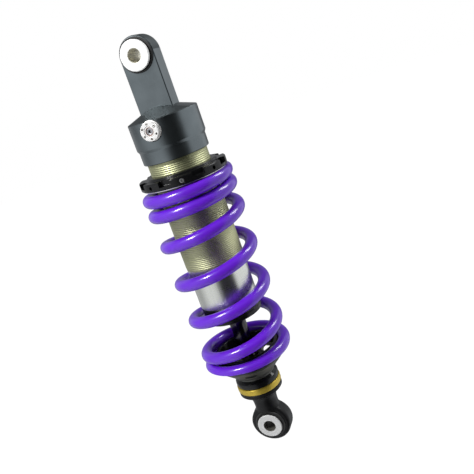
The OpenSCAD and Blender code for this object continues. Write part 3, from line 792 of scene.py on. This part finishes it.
class COILOVER_OT_adjuster(Piece, bpy.types.Operator):
    """The compression adjuster: its face with six holes, the copper ring and the hex screw"""
    bl_idname = "coilover.adjuster"
    bl_label = "Compression adjuster"

    def execute(self, context):
        z, radius = ADJUSTER_Z, ADJUSTER_R
        face, back = low("compression_body").y, high("compression_body").y
        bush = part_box("compression_bush")
        bush_r = across_y("compression_bush")[1] + 0.00005
        screw_face, screw_back = low("compression_screw").y, high("compression_screw").y
        screw_r = across_y("compression_screw")[1]
        barrel = turned("barrel", [
            (screw_r + 0.00005, face + 0.003, 0), (bush_r, face + 0.003, 0), (bush_r, face, 0.0003),
            (radius - 0.0004, face, 0.0004), (radius - 0.0004, face + 0.0024, 0.0002),
            (radius - 0.0010, face + 0.0027, 0.0002), (radius - 0.0010, face + 0.0033, 0.0002),
            (radius, face + 0.0036, 0.0002), (radius, back, 0), (screw_r + 0.00005, back, 0),
        ], 128)
        along_y(barrel, z)
        ring = radius - 0.002
        for k in range(6):
            turn = math.radians(30 + 60 * k)
            drill = cylinder("drill", 0.00095, face - 0.001, face + 0.0026, steps=28)
            drill = placed(drill, at(ring * math.cos(turn), 0, z + ring * math.sin(turn)) @ ALONG_Y)
            barrel = combined(barrel, drill, "DIFFERENCE")
        barrel = softened(barrel, 0.00012, 2, 50.0)
        barrel.name = "Adjuster_body"
        dress(barrel, "damper_body", "bright_aluminium", ["compression_body"], "adjuster_face")
        collar = turned("Adjuster_ring", [
            (screw_r + 0.00006, bush[0].y, 0.0002), (bush_r - 0.00005, bush[0].y, 0.0002),
            (bush_r - 0.00005, bush[1].y, 0), (screw_r + 0.00006, bush[1].y, 0),
        ], 96)
        dress(along_y(collar, z), "damper_body", "copper_tint", ["compression_bush"])
        screw = turned("Adjuster_screw", [
            (0, screw_back, 0), (screw_r, screw_back, 0.0003), (screw_r, screw_face, 0.0003),
            (0.0018, screw_face, 0.0001), (0.00155, screw_face + 0.0002, 0), (0, screw_face + 0.0002, 0),
        ], 96, closed=False)
        key = hexagon("key", 0.00145, screw_face - 0.001, screw_face + 0.0022)
        screw = combined(screw, key, "DIFFERENCE")
        dress(along_y(screw, z), "compression_adjuster", "steel", ["compression_screw"])
        return {"FINISHED"}


def hexagon(name, radius, start, stop):
    bm = bmesh.new()
    bmesh.ops.create_cone(
        bm, cap_ends=True, cap_tris=False, segments=6, radius1=radius, radius2=radius,
        depth=stop - start, matrix=at(z=(start + stop) / 2),
    )
    return keep(bm, name)


class COILOVER_OT_gas_valve_cap(Piece, bpy.types.Operator):
    """The black cap over the gas valve at the back of the head"""
    bl_idname = "coilover.gas_valve_cap"
    bl_label = "Gas valve cap"

    def execute(self, context):
        z, radius = across_y("gas_valve_cap")
        near, far = low("gas_valve_cap").y, high("gas_valve_cap").y
        cap = turned("Gas_valve_cap", [
            (0, near, 0), (radius, near, 0.0002), (radius, far, 0.0005), (0, far, 0),
        ], 80, closed=False)
        cap = combined(cap, hexagon("key", 0.002, far - 0.002, far + 0.001), "DIFFERENCE")
        dress(along_y(cap, z), "damper_body", "black_anodised", ["gas_valve_cap"])
        return {"FINISHED"}


class COILOVER_OT_tube(Piece, bpy.types.Operator):
    """The damper tube: a real thread that runs out at both ends, then a plain stretch"""
    bl_idname = "coilover.tube"
    bl_label = "Damper tube"

    def execute(self, context):
        s = self.sizes
        pitch, depth = s.thread_pitch, s.thread_depth
        crest, root = TUBE_R, TUBE_R - depth
        end = SKIRT_Z - s.thread_length
        hidden = SKIRT_Z + 0.004
        # the plain stretch is ground just under the crest of the thread
        plain = TUBE_R - 0.0002745
        turns = math.ceil((hidden - end) / pitch) + 2
        steps = 96
        bm = bmesh.new()
        verts = []
        start = hidden + 2 * pitch
        for k in range(turns + 1):
            z = start - k * pitch
            for radius, drop in ((crest, 0.0), (crest, 0.22), (root, 0.52), (root, 0.70)):
                verts.append(bm.verts.new((radius, 0, z - drop * pitch)))
        edges = [bm.edges.new(pair) for pair in zip(verts, verts[1:])]
        bmesh.ops.spin(
            bm, geom=verts + edges, cent=(0, 0, 0), axis=(0, 0, 1), dvec=(0, 0, -pitch / steps),
            angle=math.tau, steps=steps, use_merge=False, use_duplicate=False,
        )
        bmesh.ops.remove_doubles(bm, verts=bm.verts, dist=2e-6)
        # the thread runs out into the plain tube at both ends
        for vert in bm.verts:
            radius = math.hypot(vert.co.x, vert.co.y)
            share = min(1.0, max(0.0, (SKIRT_Z + 0.003 - vert.co.z) / 0.0015))
            share *= min(1.0, max(0.0, (vert.co.z - end) / 0.0015))
            rim = plain if vert.co.z < end + 0.002 else crest
            wanted = rim - (rim - radius) * share
            vert.co.x *= wanted / radius
            vert.co.y *= wanted / radius
        for z, normal in ((SKIRT_Z + 0.0035, (0, 0, 1)), (end, (0, 0, -1))):
            bmesh.ops.bisect_plane(
                bm, geom=list(bm.verts) + list(bm.edges) + list(bm.faces), dist=1e-7,
                plane_co=(0, 0, z), plane_no=normal, clear_outer=True,
            )
        loops = sorted(loops_of_boundary(bm), key=lambda loop: loop[0].verts[0].co.z)
        if len(loops) != 2:
            raise RuntimeError(f"the thread has {len(loops)} open ends, not 2")
        lower = run_on(bm, loops[0], [
            (plain, TUBE_FOOT + 0.0006), (plain - 0.0005, TUBE_FOOT), (TUBE_BORE + 0.0004, TUBE_FOOT),
            (TUBE_BORE, TUBE_FOOT + 0.0004), (TUBE_BORE, TUBE_TOP),
        ])
        upper = run_on(bm, loops[1], [(crest, TUBE_TOP)])
        bmesh.ops.bridge_loops(bm, edges=lower + upper)
        tube = keep(bm, "Damper_tube")
        dress(tube, "damper_body", "champagne_thread", ["damper_tube"], angle=25.0)
        return {"FINISHED"}


def run_on(bm, loop, rings):
    """Extrudes an open loop through rings of (radius, height), and returns the last loop."""
    for radius, height in rings:
        made = bmesh.ops.extrude_edge_only(bm, edges=loop)
        for vert in moved_verts(made):
            share = radius / math.hypot(vert.co.x, vert.co.y)
            vert.co = Vector((vert.co.x * share, vert.co.y * share, height))
        loop = [g for g in made["geom"] if isinstance(g, bmesh.types.BMEdge)]
    return loop


class COILOVER_OT_collar(Piece, bpy.types.Operator):
    """The preload collar with its slots and holes, its clamp screw and the slip washer"""
    bl_idname = "coilover.collar"
    bl_label = "Preload collar"

    def execute(self, context):
        radius, foot, rise_z = radius_and_ends("preload_collar")
        top = rise_z - 0.0016
        bore = TUBE_R + 0.0001
        collar = turned("collar", [
            (bore, foot, 0.0003), (radius, foot, 0.0009), (radius, top, 0.0009),
            (TUBE_R + 0.0045, top, 0.0004), (TUBE_R + 0.004, rise_z, 0.0007), (bore, rise_z, 0.0004),
        ], 192, arc=5)
        slots = 8
        pitch = math.tau / slots
        first = math.radians(-48)
        middle = (foot + top) / 2
        tools = []
        for k in range(slots):
            spin = Matrix.Rotation(first + k * pitch, 4, "Z")
            bm = bmesh.new()
            bmesh.ops.create_cube(bm, size=1.0, matrix=at(radius + 0.0005, 0, top + 0.0010)
                                  @ Matrix.Diagonal((0.010, 0.010, 0.010, 1)))
            floor = [e for e in bm.edges if all(v.co.z < top for v in e.verts)
                     and all(v.co.x < radius for v in e.verts)]
            bmesh.ops.bevel(bm, geom=floor, offset=0.0008, offset_type="OFFSET", affect="EDGES",
                            segments=3, profile=0.5, material=-1, clamp_overlap=True)
            tools.append(placed(keep(bm, "slot"), spin))
            if k % 2 == 0:
                spin = Matrix.Rotation(first + (k + 0.5) * pitch, 4, "Z")
                hole = cylinder("hole", 0.0015, radius - 0.007, radius + 0.003, steps=40)
                tools.append(placed(hole, spin @ at(z=middle) @ ALONG_X))
        spin = Matrix.Rotation(first - pitch / 2, 4, "Z")
        hole = cylinder("hole", 0.002, TUBE_R + 0.003, radius + 0.003, steps=48)
        tools.append(placed(hole, spin @ at(z=middle) @ ALONG_X))
        collar = combined(collar, merged("tools", tools), "DIFFERENCE")
        collar = softened(collar, 0.00035, 3, 42.0)
        collar.name = "Preload_collar"
        dress(collar, "collar", "black_anodised", ["preload_collar"])
        end = radius - 0.0004
        screw = turned("screw", [
            (0, TUBE_R + 0.003, 0), (0.00195, TUBE_R + 0.003, 0), (0.00195, end, 0.0004), (0, end, 0),
        ], 64, closed=False)
        screw = combined(screw, hexagon("key", 0.001, end - 0.0015, end + 0.001), "DIFFERENCE")
        screw.name = "Collar_screw"
        dress(placed(screw, spin @ at(z=middle) @ ALONG_X), "collar", "bright_aluminium", ["collar_screw"])
        radius, foot, top = radius_and_ends("slip_washer")
        ring = turned("Slip_washer", [
            (TUBE_R + 0.0005, foot, 0.0002), (radius, foot, 0.0003), (radius, top, 0.0003),
            (TUBE_R + 0.0005, top, 0.0002),
        ], 160)
        dress(ring, "spring_seat", "bright_aluminium", ["slip_washer"])
        return {"FINISHED"}


def ease(x):
    c = min(max(x, 0.0), 1.0)
    return c * c * (3 - 2 * c)


class COILOVER_OT_spring(Piece, bpy.types.Operator):
    """The coil spring, with closed and ground ends"""
    bl_idname = "coilover.spring"
    bl_label = "Spring"

    def execute(self, context):
        s = self.sizes
        _, foot, top = radius_and_ends("spring")
        turns, wire, radius = s.coil_turns, s.wire, s.coil_radius
        closed_pitch = wire + 0.0004
        count = 240
        step = turns / count

        def openness(t):
            return ease((t - 1.0) / 2.0) * ease((turns - 0.95 - t) / 0.5)

        opened = [0.0]
        for i in range(count):
            opened.append(opened[-1] + openness((i + 0.5) * step) * step)

        def opened_share(t):
            i = min(int(t / step), count - 1)
            part = t / step - i
            return (opened[i] * (1 - part) + opened[i + 1] * part) / opened[-1]

        ground = 0.33 * wire
        open_length = top - foot + ground - closed_pitch * turns
        per_turn = 88
        steps = round(turns * per_turn)
        around = 30
        bm = bmesh.new()
        section = bmesh.ops.create_circle(
            bm, cap_ends=False, segments=around, radius=wire / 2,
            matrix=at(radius) @ Matrix.Rotation(math.pi / 2, 4, "X"),
        )["verts"]
        section_edges = list(bm.edges)
        bmesh.ops.contextual_create(bm, geom=section_edges)
        rise = wire * 2
        bmesh.ops.spin(
            bm, geom=section + section_edges, cent=(0, 0, 0), axis=(0, 0, 1),
            dvec=(0, 0, -rise / per_turn), angle=-math.tau * turns, steps=steps,
            use_merge=False, use_duplicate=False,
        )
        end_edges = [e for e in bm.edges if e.is_boundary]
        bmesh.ops.contextual_create(bm, geom=end_edges)
        bm.verts.ensure_lookup_table()
        layer = bm.verts.layers.float.new("turn")
        for vert in bm.verts:
            angle = -math.atan2(vert.co.y, vert.co.x) / math.tau
            # each section was moved down by rise for every turn, so its height tells its turn
            guess = -vert.co.z / rise
            t = angle + round(guess - angle)
            vert[layer] = min(max(t, 0.0), turns)
            vert.co.z += vert[layer] * rise
        for vert in bm.verts:
            t = vert[layer]
            centre = top - closed_pitch * t - open_length * opened_share(t)
            if centre + vert.co.z < foot:
                # the ground face is only as wide as the wire is there
                half = math.sqrt(max((wire / 2) ** 2 - (centre - foot) ** 2, 0.0))
                reach = math.hypot(vert.co.x, vert.co.y)
                held = radius + min(max(reach - radius, -half), half)
                vert.co.x *= held / reach
                vert.co.y *= held / reach
            vert.co.z = min(max(centre + vert.co.z, foot), top)
            opened_share(t)
        bmesh.ops.rotate(bm, verts=bm.verts, cent=(0, 0, 0), matrix=Matrix.Rotation(s.coil_start, 3, "Z"))
        bmesh.ops.recalc_face_normals(bm, faces=bm.faces)
        mesh = bpy.data.meshes.new("Spring")
        bm.to_mesh(mesh)
        bm.free()
        spring = bpy.data.objects.new("Spring", mesh)
        context.scene.collection.objects.link(spring)
        dress(spring, None, "spring_purple", ["spring"], angle=50.0)
        spring.modifiers.clear()
        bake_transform(spring)
        return {"FINISHED"}


class COILOVER_OT_end_cap(Piece, bpy.types.Operator):
    """The black cap that closes the tube around the rod, with its wiper"""
    bl_idname = "coilover.end_cap"
    bl_label = "End cap"

    def execute(self, context):
        radius, foot, top = radius_and_ends("end_cap")
        mouth = ROD_R + 0.003
        plug = TUBE_BORE - 0.00005
        cap = turned("End_cap", [
            (mouth, top, 0), (plug, top, 0.0004), (plug, TUBE_FOOT, 0),
            (radius - 0.0006, TUBE_FOOT, 0.0005), (radius - 0.0006, foot + 0.0043, 0.0003),
            (radius, foot + 0.0037, 0.0003), (radius, foot, 0.0009), (mouth + 0.0035, foot, 0.0004),
            (mouth + 0.0028, foot + 0.0012, 0.0004), (mouth, foot + 0.0012, 0.0003),
        ], 144)
        dress(cap, "damper_body", "black_anodised", ["end_cap"])
        radius, foot, top = radius_and_ends("rod_wiper")
        lip_r = ROD_R + 0.00006
        lip = turned("Rod_wiper", [
            (lip_r, top, 0), (radius, top, 0), (radius, foot + 0.001, 0.0002),
            (radius - 0.001, foot + 0.0005, 0.0003), (ROD_R + 0.0006, foot, 0.0002),
            (lip_r, foot + 0.0008, 0.0001),
        ], 112)
        dress(lip, "damper_body", "rubber_black", ["rod_wiper"])
        return {"FINISHED"}


class COILOVER_OT_rod(Piece, bpy.types.Operator):
    """The rod, with its shoulder and the spigot for the piston"""
    bl_idname = "coilover.rod"
    bl_label = "Rod"

    def execute(self, context):
        radius, foot, top = radius_and_ends("rod")
        shoulder = low("piston_washers").z
        bore = high("rebound_needle").x + 0.0005
        fitted = radius - 0.00005
        spigot = radius - 0.002
        rod = turned("Rod", [
            (bore, foot, 0.0002), (fitted, foot, 0.0005), (fitted, FOOT_TOP, 0), (radius, FOOT_TOP, 0),
            (radius, shoulder, 0.0004), (spigot, shoulder, 0), (spigot, top, 0.0004), (bore, top, 0.0002),
        ], 144)
        dress(rod, "rod_assembly", "dark_rod", ["rod"])
        return {"FINISHED"}


class COILOVER_OT_bump_stop(Piece, bpy.types.Operator):
    """The bump stop: a foam ring with a waist"""
    bl_idname = "coilover.bump_stop"
    bl_label = "Bump stop"

    def execute(self, context):
        radius, foot, top = radius_and_ends("bump_stop")
        bore = ROD_R + 0.0002
        waist = (foot + top) / 2
        stop = turned("Bump_stop", [
            (bore, foot, 0.0003), (radius - 0.0004, foot, 0.0012), (radius, foot + 0.0019, 0.0012),
            (radius - 0.0019, waist - 0.0003, 0.0008), (radius - 0.0008, top - 0.0018, 0.0012),
            (radius - 0.0022, top, 0.0009), (bore + 0.0012, top, 0.0005), (bore, top - 0.0008, 0.0003),
        ], 112, arc=6)
        dress(stop, "rod_assembly", "rubber_black", ["bump_stop"])
        return {"FINISHED"}


class COILOVER_OT_lower_seat(Piece, bpy.types.Operator):
    """The spring's lower seat: a flanged spigot"""
    bl_idname = "coilover.lower_seat"
    bl_label = "Lower spring seat"

    def execute(self, context):
        radius, foot, top = radius_and_ends("lower_spring_seat")
        spigot = radius - 0.002
        bore = spigot - 0.0034
        seat_z = top - 0.0055
        seat = turned("Lower_seat", [
            (bore, foot, 0.0003), (radius - 0.001, foot, 0.0005), (radius, foot + 0.001, 0.0005),
            (radius, seat_z, 0.0006), (spigot, seat_z, 0.0003), (spigot, top, 0.0012), (bore, top, 0.0005),
        ], 160, arc=5)
        dress(seat, "rod_assembly", "black_anodised", ["lower_spring_seat"])
        return {"FINISHED"}


class COILOVER_OT_carrier(Piece, bpy.types.Operator):
    """The conical carrier under the seat, with its five windows"""
    bl_idname = "coilover.carrier"
    bl_label = "Spring carrier"

    def execute(self, context):
        wide, foot, top = radius_and_ends("spring_retainer")
        narrow = STEM_BORE + 0.00445
        carrier = turned("carrier", [
            (STEM_BORE, foot, 0.0003), (narrow, foot, 0.0006), (narrow, foot + 0.0014, 0.0012),
            (wide, top - 0.0016, 0.0009), (wide, top, 0.0005), (wide - 0.003, top, 0.0003),
            (narrow - 0.0024, foot + 0.0042, 0.0012), (STEM_BORE, foot + 0.0042, 0.0004),
        ], 160, arc=5)
        windows = 5
        round_r = 0.0026
        centre = at((narrow + wide) / 2 - 0.0004, 0, (foot + top) / 2 + 0.0018)
        tools = []
        for k in range(windows):
            bm = bmesh.new()
            bmesh.ops.create_circle(bm, cap_ends=True, cap_tris=False, segments=40, radius=round_r)
            for vert in bm.verts:
                vert.co.y += math.copysign(round_r, vert.co.y) if abs(vert.co.y) > 1e-7 else 0.0
            pushed = bmesh.ops.extrude_face_region(bm, geom=list(bm.faces))
            bmesh.ops.translate(bm, verts=moved_verts(pushed), vec=(0, 0, 0.016))
            bmesh.ops.translate(bm, verts=bm.verts, vec=(0, 0, -0.008))
            window = keep(bm, "window")
            spin = Matrix.Rotation(math.tau * k / windows - math.radians(6), 4, "Z")
            tools.append(placed(window, spin @ centre @ Matrix.Rotation(math.radians(135), 4, "Y")))
        carrier = combined(carrier, merged("windows", tools), "DIFFERENCE")
        carrier = softened(carrier, 0.0003, 2, 42.0)
        carrier.name = "Spring_carrier"
        dress(carrier, "rod_assembly", "carrier_grey", ["spring_retainer"])
        return {"FINISHED"}


class COILOVER_OT_rings(Piece, bpy.types.Operator):
    """The black lock ring and the gold rebound ring"""
    bl_idname = "coilover.rings"
    bl_label = "Lock and rebound rings"

    def execute(self, context):
        radius, foot, top = radius_and_ends("lock_ring")
        bore = STEM_BORE
        lock = turned("Lock_ring", [
            (bore, foot, 0.0003), (radius - 0.0004, foot, 0.0010), (radius, foot + 0.0020, 0.0014),
            (radius, top - 0.0024, 0.0012), (radius - 0.0026, top, 0.0008), (bore, top, 0.0003),
        ], 144, arc=6)
        dress(lock, "rod_assembly", "black_anodised", ["lock_ring"])
        radius, foot, top = radius_and_ends("rebound_wheel")
        groove = bore + 0.00255
        wheel = turned("Rebound_ring", [
            (bore, foot, 0.0002), (radius - 0.0003, foot, 0.0007), (radius, foot + 0.0009, 0.0006),
            (radius, top - 0.0009, 0.0006), (radius - 0.0003, top, 0.0007), (bore, top, 0.0002),
            (bore, top - 0.0006, 0), (groove, top - 0.0006, 0), (groove, foot + 0.0006, 0),
            (bore, foot + 0.0006, 0),
        ], 144, arc=5)
        dress(wheel, "rebound_adjuster", "gold_anodised", ["rebound_wheel"])
        return {"FINISHED"}


class COILOVER_OT_lower_mount(Piece, bpy.types.Operator):
    """The lower mount: a turned stem that draws in to a neck and swells into a round eye"""
    bl_idname = "coilover.lower_mount"
    bl_label = "Lower mount"

    def execute(self, context):
        eye_z = LOWER_EYE_Z
        ring_z = low("rebound_wheel").z - 0.00005
        eye_r = eye_z - low("lower_mount").z
        half = 0.0075
        stem = 0.012
        wide = high("rebound_wheel").x - 0.0004
        neck = ROD_R + 0.0033
        neck_z = ring_z - 0.016
        eye = turned("eye", [
            (0, -half, 0), (eye_r, -half, 0.0032), (eye_r, half, 0.0032), (0, half, 0),
        ], 128, closed=False, arc=8)
        along_y(eye, eye_z)
        curve_z = ring_z - 0.0044
        curve = [
            (neck + (wide - 0.001 - neck) * (1 - math.sin(math.radians(a))),
             curve_z + (curve_z - neck_z) * (math.cos(math.radians(a)) - 1), 0)
            for a in range(0, 91, 10)
        ]
        shank = turned("shank", [
            (0, ring_z - 0.006, 0), *[p for p in curve if p[1] < ring_z - 0.006],
            (neck, eye_z + 0.002, 0), (0, eye_z + 0.002, 0),
        ], 96, closed=False)
        forged = combined(eye, shank, "UNION")
        remesh = forged.modifiers.new("skin", "REMESH")
        remesh.mode = "VOXEL"
        remesh.voxel_size = 0.00042
        applied(forged)
        group = forged.vertex_groups.new(name="blend")
        for vert in forged.data.vertices:
            reach = abs(vert.co.z - (eye_z + eye_r * 0.72))
            group.add([vert.index], ease(1.25 - reach / 0.0085), "REPLACE")
        soften = forged.modifiers.new("fillet", "SMOOTH")
        soften.factor = 0.5
        soften.iterations = 60
        soften.vertex_group = "blend"
        even = forged.modifiers.new("even", "SMOOTH")
        even.factor = 0.5
        even.iterations = 4
        applied(forged)
        forged.vertex_groups.clear()
        upper_curve = [p for p in curve if p[1] > ring_z - 0.0075]
        head = turned("head", [
            (0, FOOT_TOP, 0), (stem, FOOT_TOP, 0.0005), (stem, ring_z, 0), (wide - 0.0006, ring_z, 0.0004),
            (wide, ring_z - 0.0008, 0.0004), (wide, ring_z - 0.0034, 0.0005),
            *upper_curve, (0, upper_curve[-1][1], 0),
        ], 128, closed=False, arc=5)
        mount = combined(head, forged, "UNION")
        race_r = high("lower_race").x
        seal_r = high("lower_dust_seals").x
        mouth, flare, out = race_r + 0.0004, half - 0.0004, half + 0.012
        bore = turned("bore", [
            (0, -out, 0), (seal_r + 0.0012, -out, 0), (seal_r + 0.0006, -half, 0),
            (mouth, -half, 0), (race_r, -flare, 0), (race_r, flare, 0),
            (mouth, half, 0), (seal_r + 0.0006, half, 0), (seal_r + 0.0012, out, 0), (0, out, 0),
        ], 128, closed=False)
        mount = combined(mount, along_y(bore, eye_z), "DIFFERENCE")
        rod_low = low("rod").z
        socket = cylinder("socket", ROD_R, rod_low - 0.0001, FOOT_TOP + 0.001)
        mount = combined(mount, socket, "DIFFERENCE")
        needle_r = high("rebound_needle").x + 0.0004
        needle = cylinder("needle", needle_r, ring_z - 0.0008, rod_low + 0.001, steps=48)
        mount = combined(mount, needle, "DIFFERENCE")
        pin_z = across_y("rebound_cross_pin")[0]
        bm = bmesh.new()
        bmesh.ops.create_cube(
            bm, size=1.0, matrix=at(z=pin_z) @ Matrix.Diagonal((0.05, 0.0019, 0.0038, 1))
        )
        mount = combined(mount, keep(bm, "slot"), "DIFFERENCE")
        mount.name = "Lower_mount"
        dress(mount, "rod_assembly", "black_anodised", ["lower_mount"], "forged_black", angle=38.0)
        return {"FINISHED"}


class COILOVER_OT_stage(Piece, bpy.types.Operator):
    """Pale floor and backdrop, softboxes and the camera"""
    bl_idname = "coilover.stage"
    bl_label = "Studio"

    def execute(self, context):
        scene = context.scene
        scene.view_settings.view_transform = "Standard"
        camera_place = Vector((0.2013, -0.4441, -0.0219))
        facing = math.atan2(camera_place.y, camera_place.x)
        world = bpy.data.worlds.new("Studio")
        scene.world = world
        world.use_nodes = True
        w = Nodes(world.node_tree)
        way = w.node("ShaderNodeTexCoord", {}, {}, "Generated")
        level = w.node("ShaderNodeVectorMath", {"operation": "MULTIPLY"}, {0: way, 1: (1.0, 1.0, 0.0)})
        level = w.node("ShaderNodeVectorMath", {"operation": "NORMALIZE"}, {0: level})
        height = w.node("ShaderNodeSeparateXYZ", {}, {0: way}, 2)

        def wall(turn, half, soft):
            """A pale wall that fills the sides from turn - half to turn + half, seen from the object."""
            angle = facing + math.radians(turn)
            near = w.node(
                "ShaderNodeVectorMath", {"operation": "DOT_PRODUCT"},
                {0: level, 1: (math.cos(angle), math.sin(angle), 0.0)}, "Value",
            )
            return w.spread(
                near, math.cos(math.radians(half + soft)), math.cos(math.radians(half - soft)), 0.0, 1.0
            )

        ceiling = w.spread(height, 0.45, 0.8, 0.0, 1.0)
        glow = (
            wall(-62, 34, 14) * 0.95 + wall(-127, 25, 12) * 0.50 + wall(94, 44, 6) * 1.0
            + wall(180, 34, 12) * 0.25 + 0.03
        )
        glow = glow * (1.0 - ceiling) + ceiling * 0.22
        soft = w.node("ShaderNodeLightPath", {}, {}, "Is Diffuse Ray")
        glow = glow * (1.0 - soft * 0.35)
        room = w.node("ShaderNodeBackground", {}, {"Color": (0.95, 0.97, 1.0, 1.0), "Strength": glow})
        seen = w.node("ShaderNodeBackground", {}, {"Color": (*self.colours.floor, 1.0), "Strength": 1.0})
        ray = w.node("ShaderNodeLightPath", {}, {}, "Is Camera Ray")
        both = w.node("ShaderNodeMixShader", {}, {0: ray, 1: room, 2: seen})
        w.node("ShaderNodeOutputWorld", {}, {"Surface": both})

        bm = bmesh.new()
        bmesh.ops.create_circle(bm, cap_ends=True, cap_tris=False, segments=96, radius=3.0,
                                matrix=at(z=CAD_BOX[0].z - 0.012))
        floor = keep(bm, "Floor")
        f = Finish("studio_floor")
        glow = f.node("ShaderNodeEmission", {}, {"Color": (*self.colours.floor, 1.0), "Strength": 1.05})
        matt = f.node("ShaderNodeBsdfDiffuse", {}, {"Color": (0.8, 0.8, 0.8, 1.0)})
        ray = f.node("ShaderNodeLightPath", {}, {}, "Is Camera Ray")
        both = f.node("ShaderNodeMixShader", {}, {0: ray * 0.97, 1: matt, 2: glow})
        f.node("ShaderNodeOutputMaterial", {}, {"Surface": both})
        floor.data.materials.append(f.material)
        floor.visible_glossy = False

        right = Vector((0.90934, 0.26806, -0.31818))
        up = Vector((0.21413, 0.35415, 0.91034))
        back = Vector((0.35671, -0.89595, 0.26465))
        data = bpy.data.cameras.new("Camera")
        data.sensor_width = 36.0
        data.lens = 48.04
        camera = bpy.data.objects.new("Camera", data)
        camera.matrix_world = Matrix((
            (right.x, up.x, back.x, camera_place.x),
            (right.y, up.y, back.y, camera_place.y),
            (right.z, up.z, back.z, camera_place.z),
            (0, 0, 0, 1),
        ))
        scene.collection.objects.link(camera)
        scene.camera = camera

        target = Vector((0, 0, -0.17))
        for name, turn, rise, wide, tall, power in (
            ("Key", -57.0, 48.0, 0.26, 0.26, 11.0),
            ("Fill", 98.0, 42.0, 0.25, 0.40, 5.0),
        ):
            lamp = bpy.data.lights.new(name, "AREA")
            lamp.shape = "RECTANGLE"
            lamp.size, lamp.size_y, lamp.energy = wide, tall, power
            angle = facing + math.radians(turn)
            climb = math.radians(rise)
            place = target + Vector((
                math.cos(climb) * math.cos(angle), math.cos(climb) * math.sin(angle), math.sin(climb)
            ))
            box = bpy.data.objects.new(name, lamp)
            box.matrix_world = at(*place) @ (target - place).to_track_quat("-Z", "Y").to_matrix().to_4x4()
            scene.collection.objects.link(box)
        return {"FINISHED"}


# ---------------------------------------------------------------- panel and registration

OPERATORS = (
    COILOVER_OT_finishes, COILOVER_OT_head, COILOVER_OT_eyes, COILOVER_OT_adjuster,
    COILOVER_OT_gas_valve_cap, COILOVER_OT_tube, COILOVER_OT_collar, COILOVER_OT_spring,
    COILOVER_OT_end_cap, COILOVER_OT_rod, COILOVER_OT_bump_stop, COILOVER_OT_lower_seat,
    COILOVER_OT_carrier, COILOVER_OT_rings, COILOVER_OT_lower_mount, COILOVER_OT_stage,
)


class COILOVER_PT_panel(bpy.types.Panel):
    """Sizes, colours and pieces of the coilover"""
    bl_label = "Coilover"
    bl_idname = "COILOVER_PT_panel"
    bl_space_type = "VIEW_3D"
    bl_region_type = "UI"
    bl_category = "Coilover"

    def draw(self, context):
        column = self.layout.column()
        for group in (context.scene.coilover_sizes, context.scene.coilover_colours):
            for key in group.__annotations__:
                column.prop(group, key)
        for operator in OPERATORS:
            column.operator(operator.bl_idname)


CLASSES = (CoiloverSizes, CoiloverColours, *OPERATORS, COILOVER_PT_panel)


def register():
    for kind in CLASSES:
        bpy.utils.register_class(kind)
    bpy.types.Scene.coilover_sizes = bpy.props.PointerProperty(type=CoiloverSizes)
    bpy.types.Scene.coilover_colours = bpy.props.PointerProperty(type=CoiloverColours)


def unregister():
    del bpy.types.Scene.coilover_colours
    del bpy.types.Scene.coilover_sizes
    for kind in reversed(CLASSES):
        bpy.utils.unregister_class(kind)


def main():
    register()
    for operator in OPERATORS:
        group, name = operator.bl_idname.split(".")
        getattr(getattr(bpy.ops, group), name)()


if __name__ == "__main__":
    main()
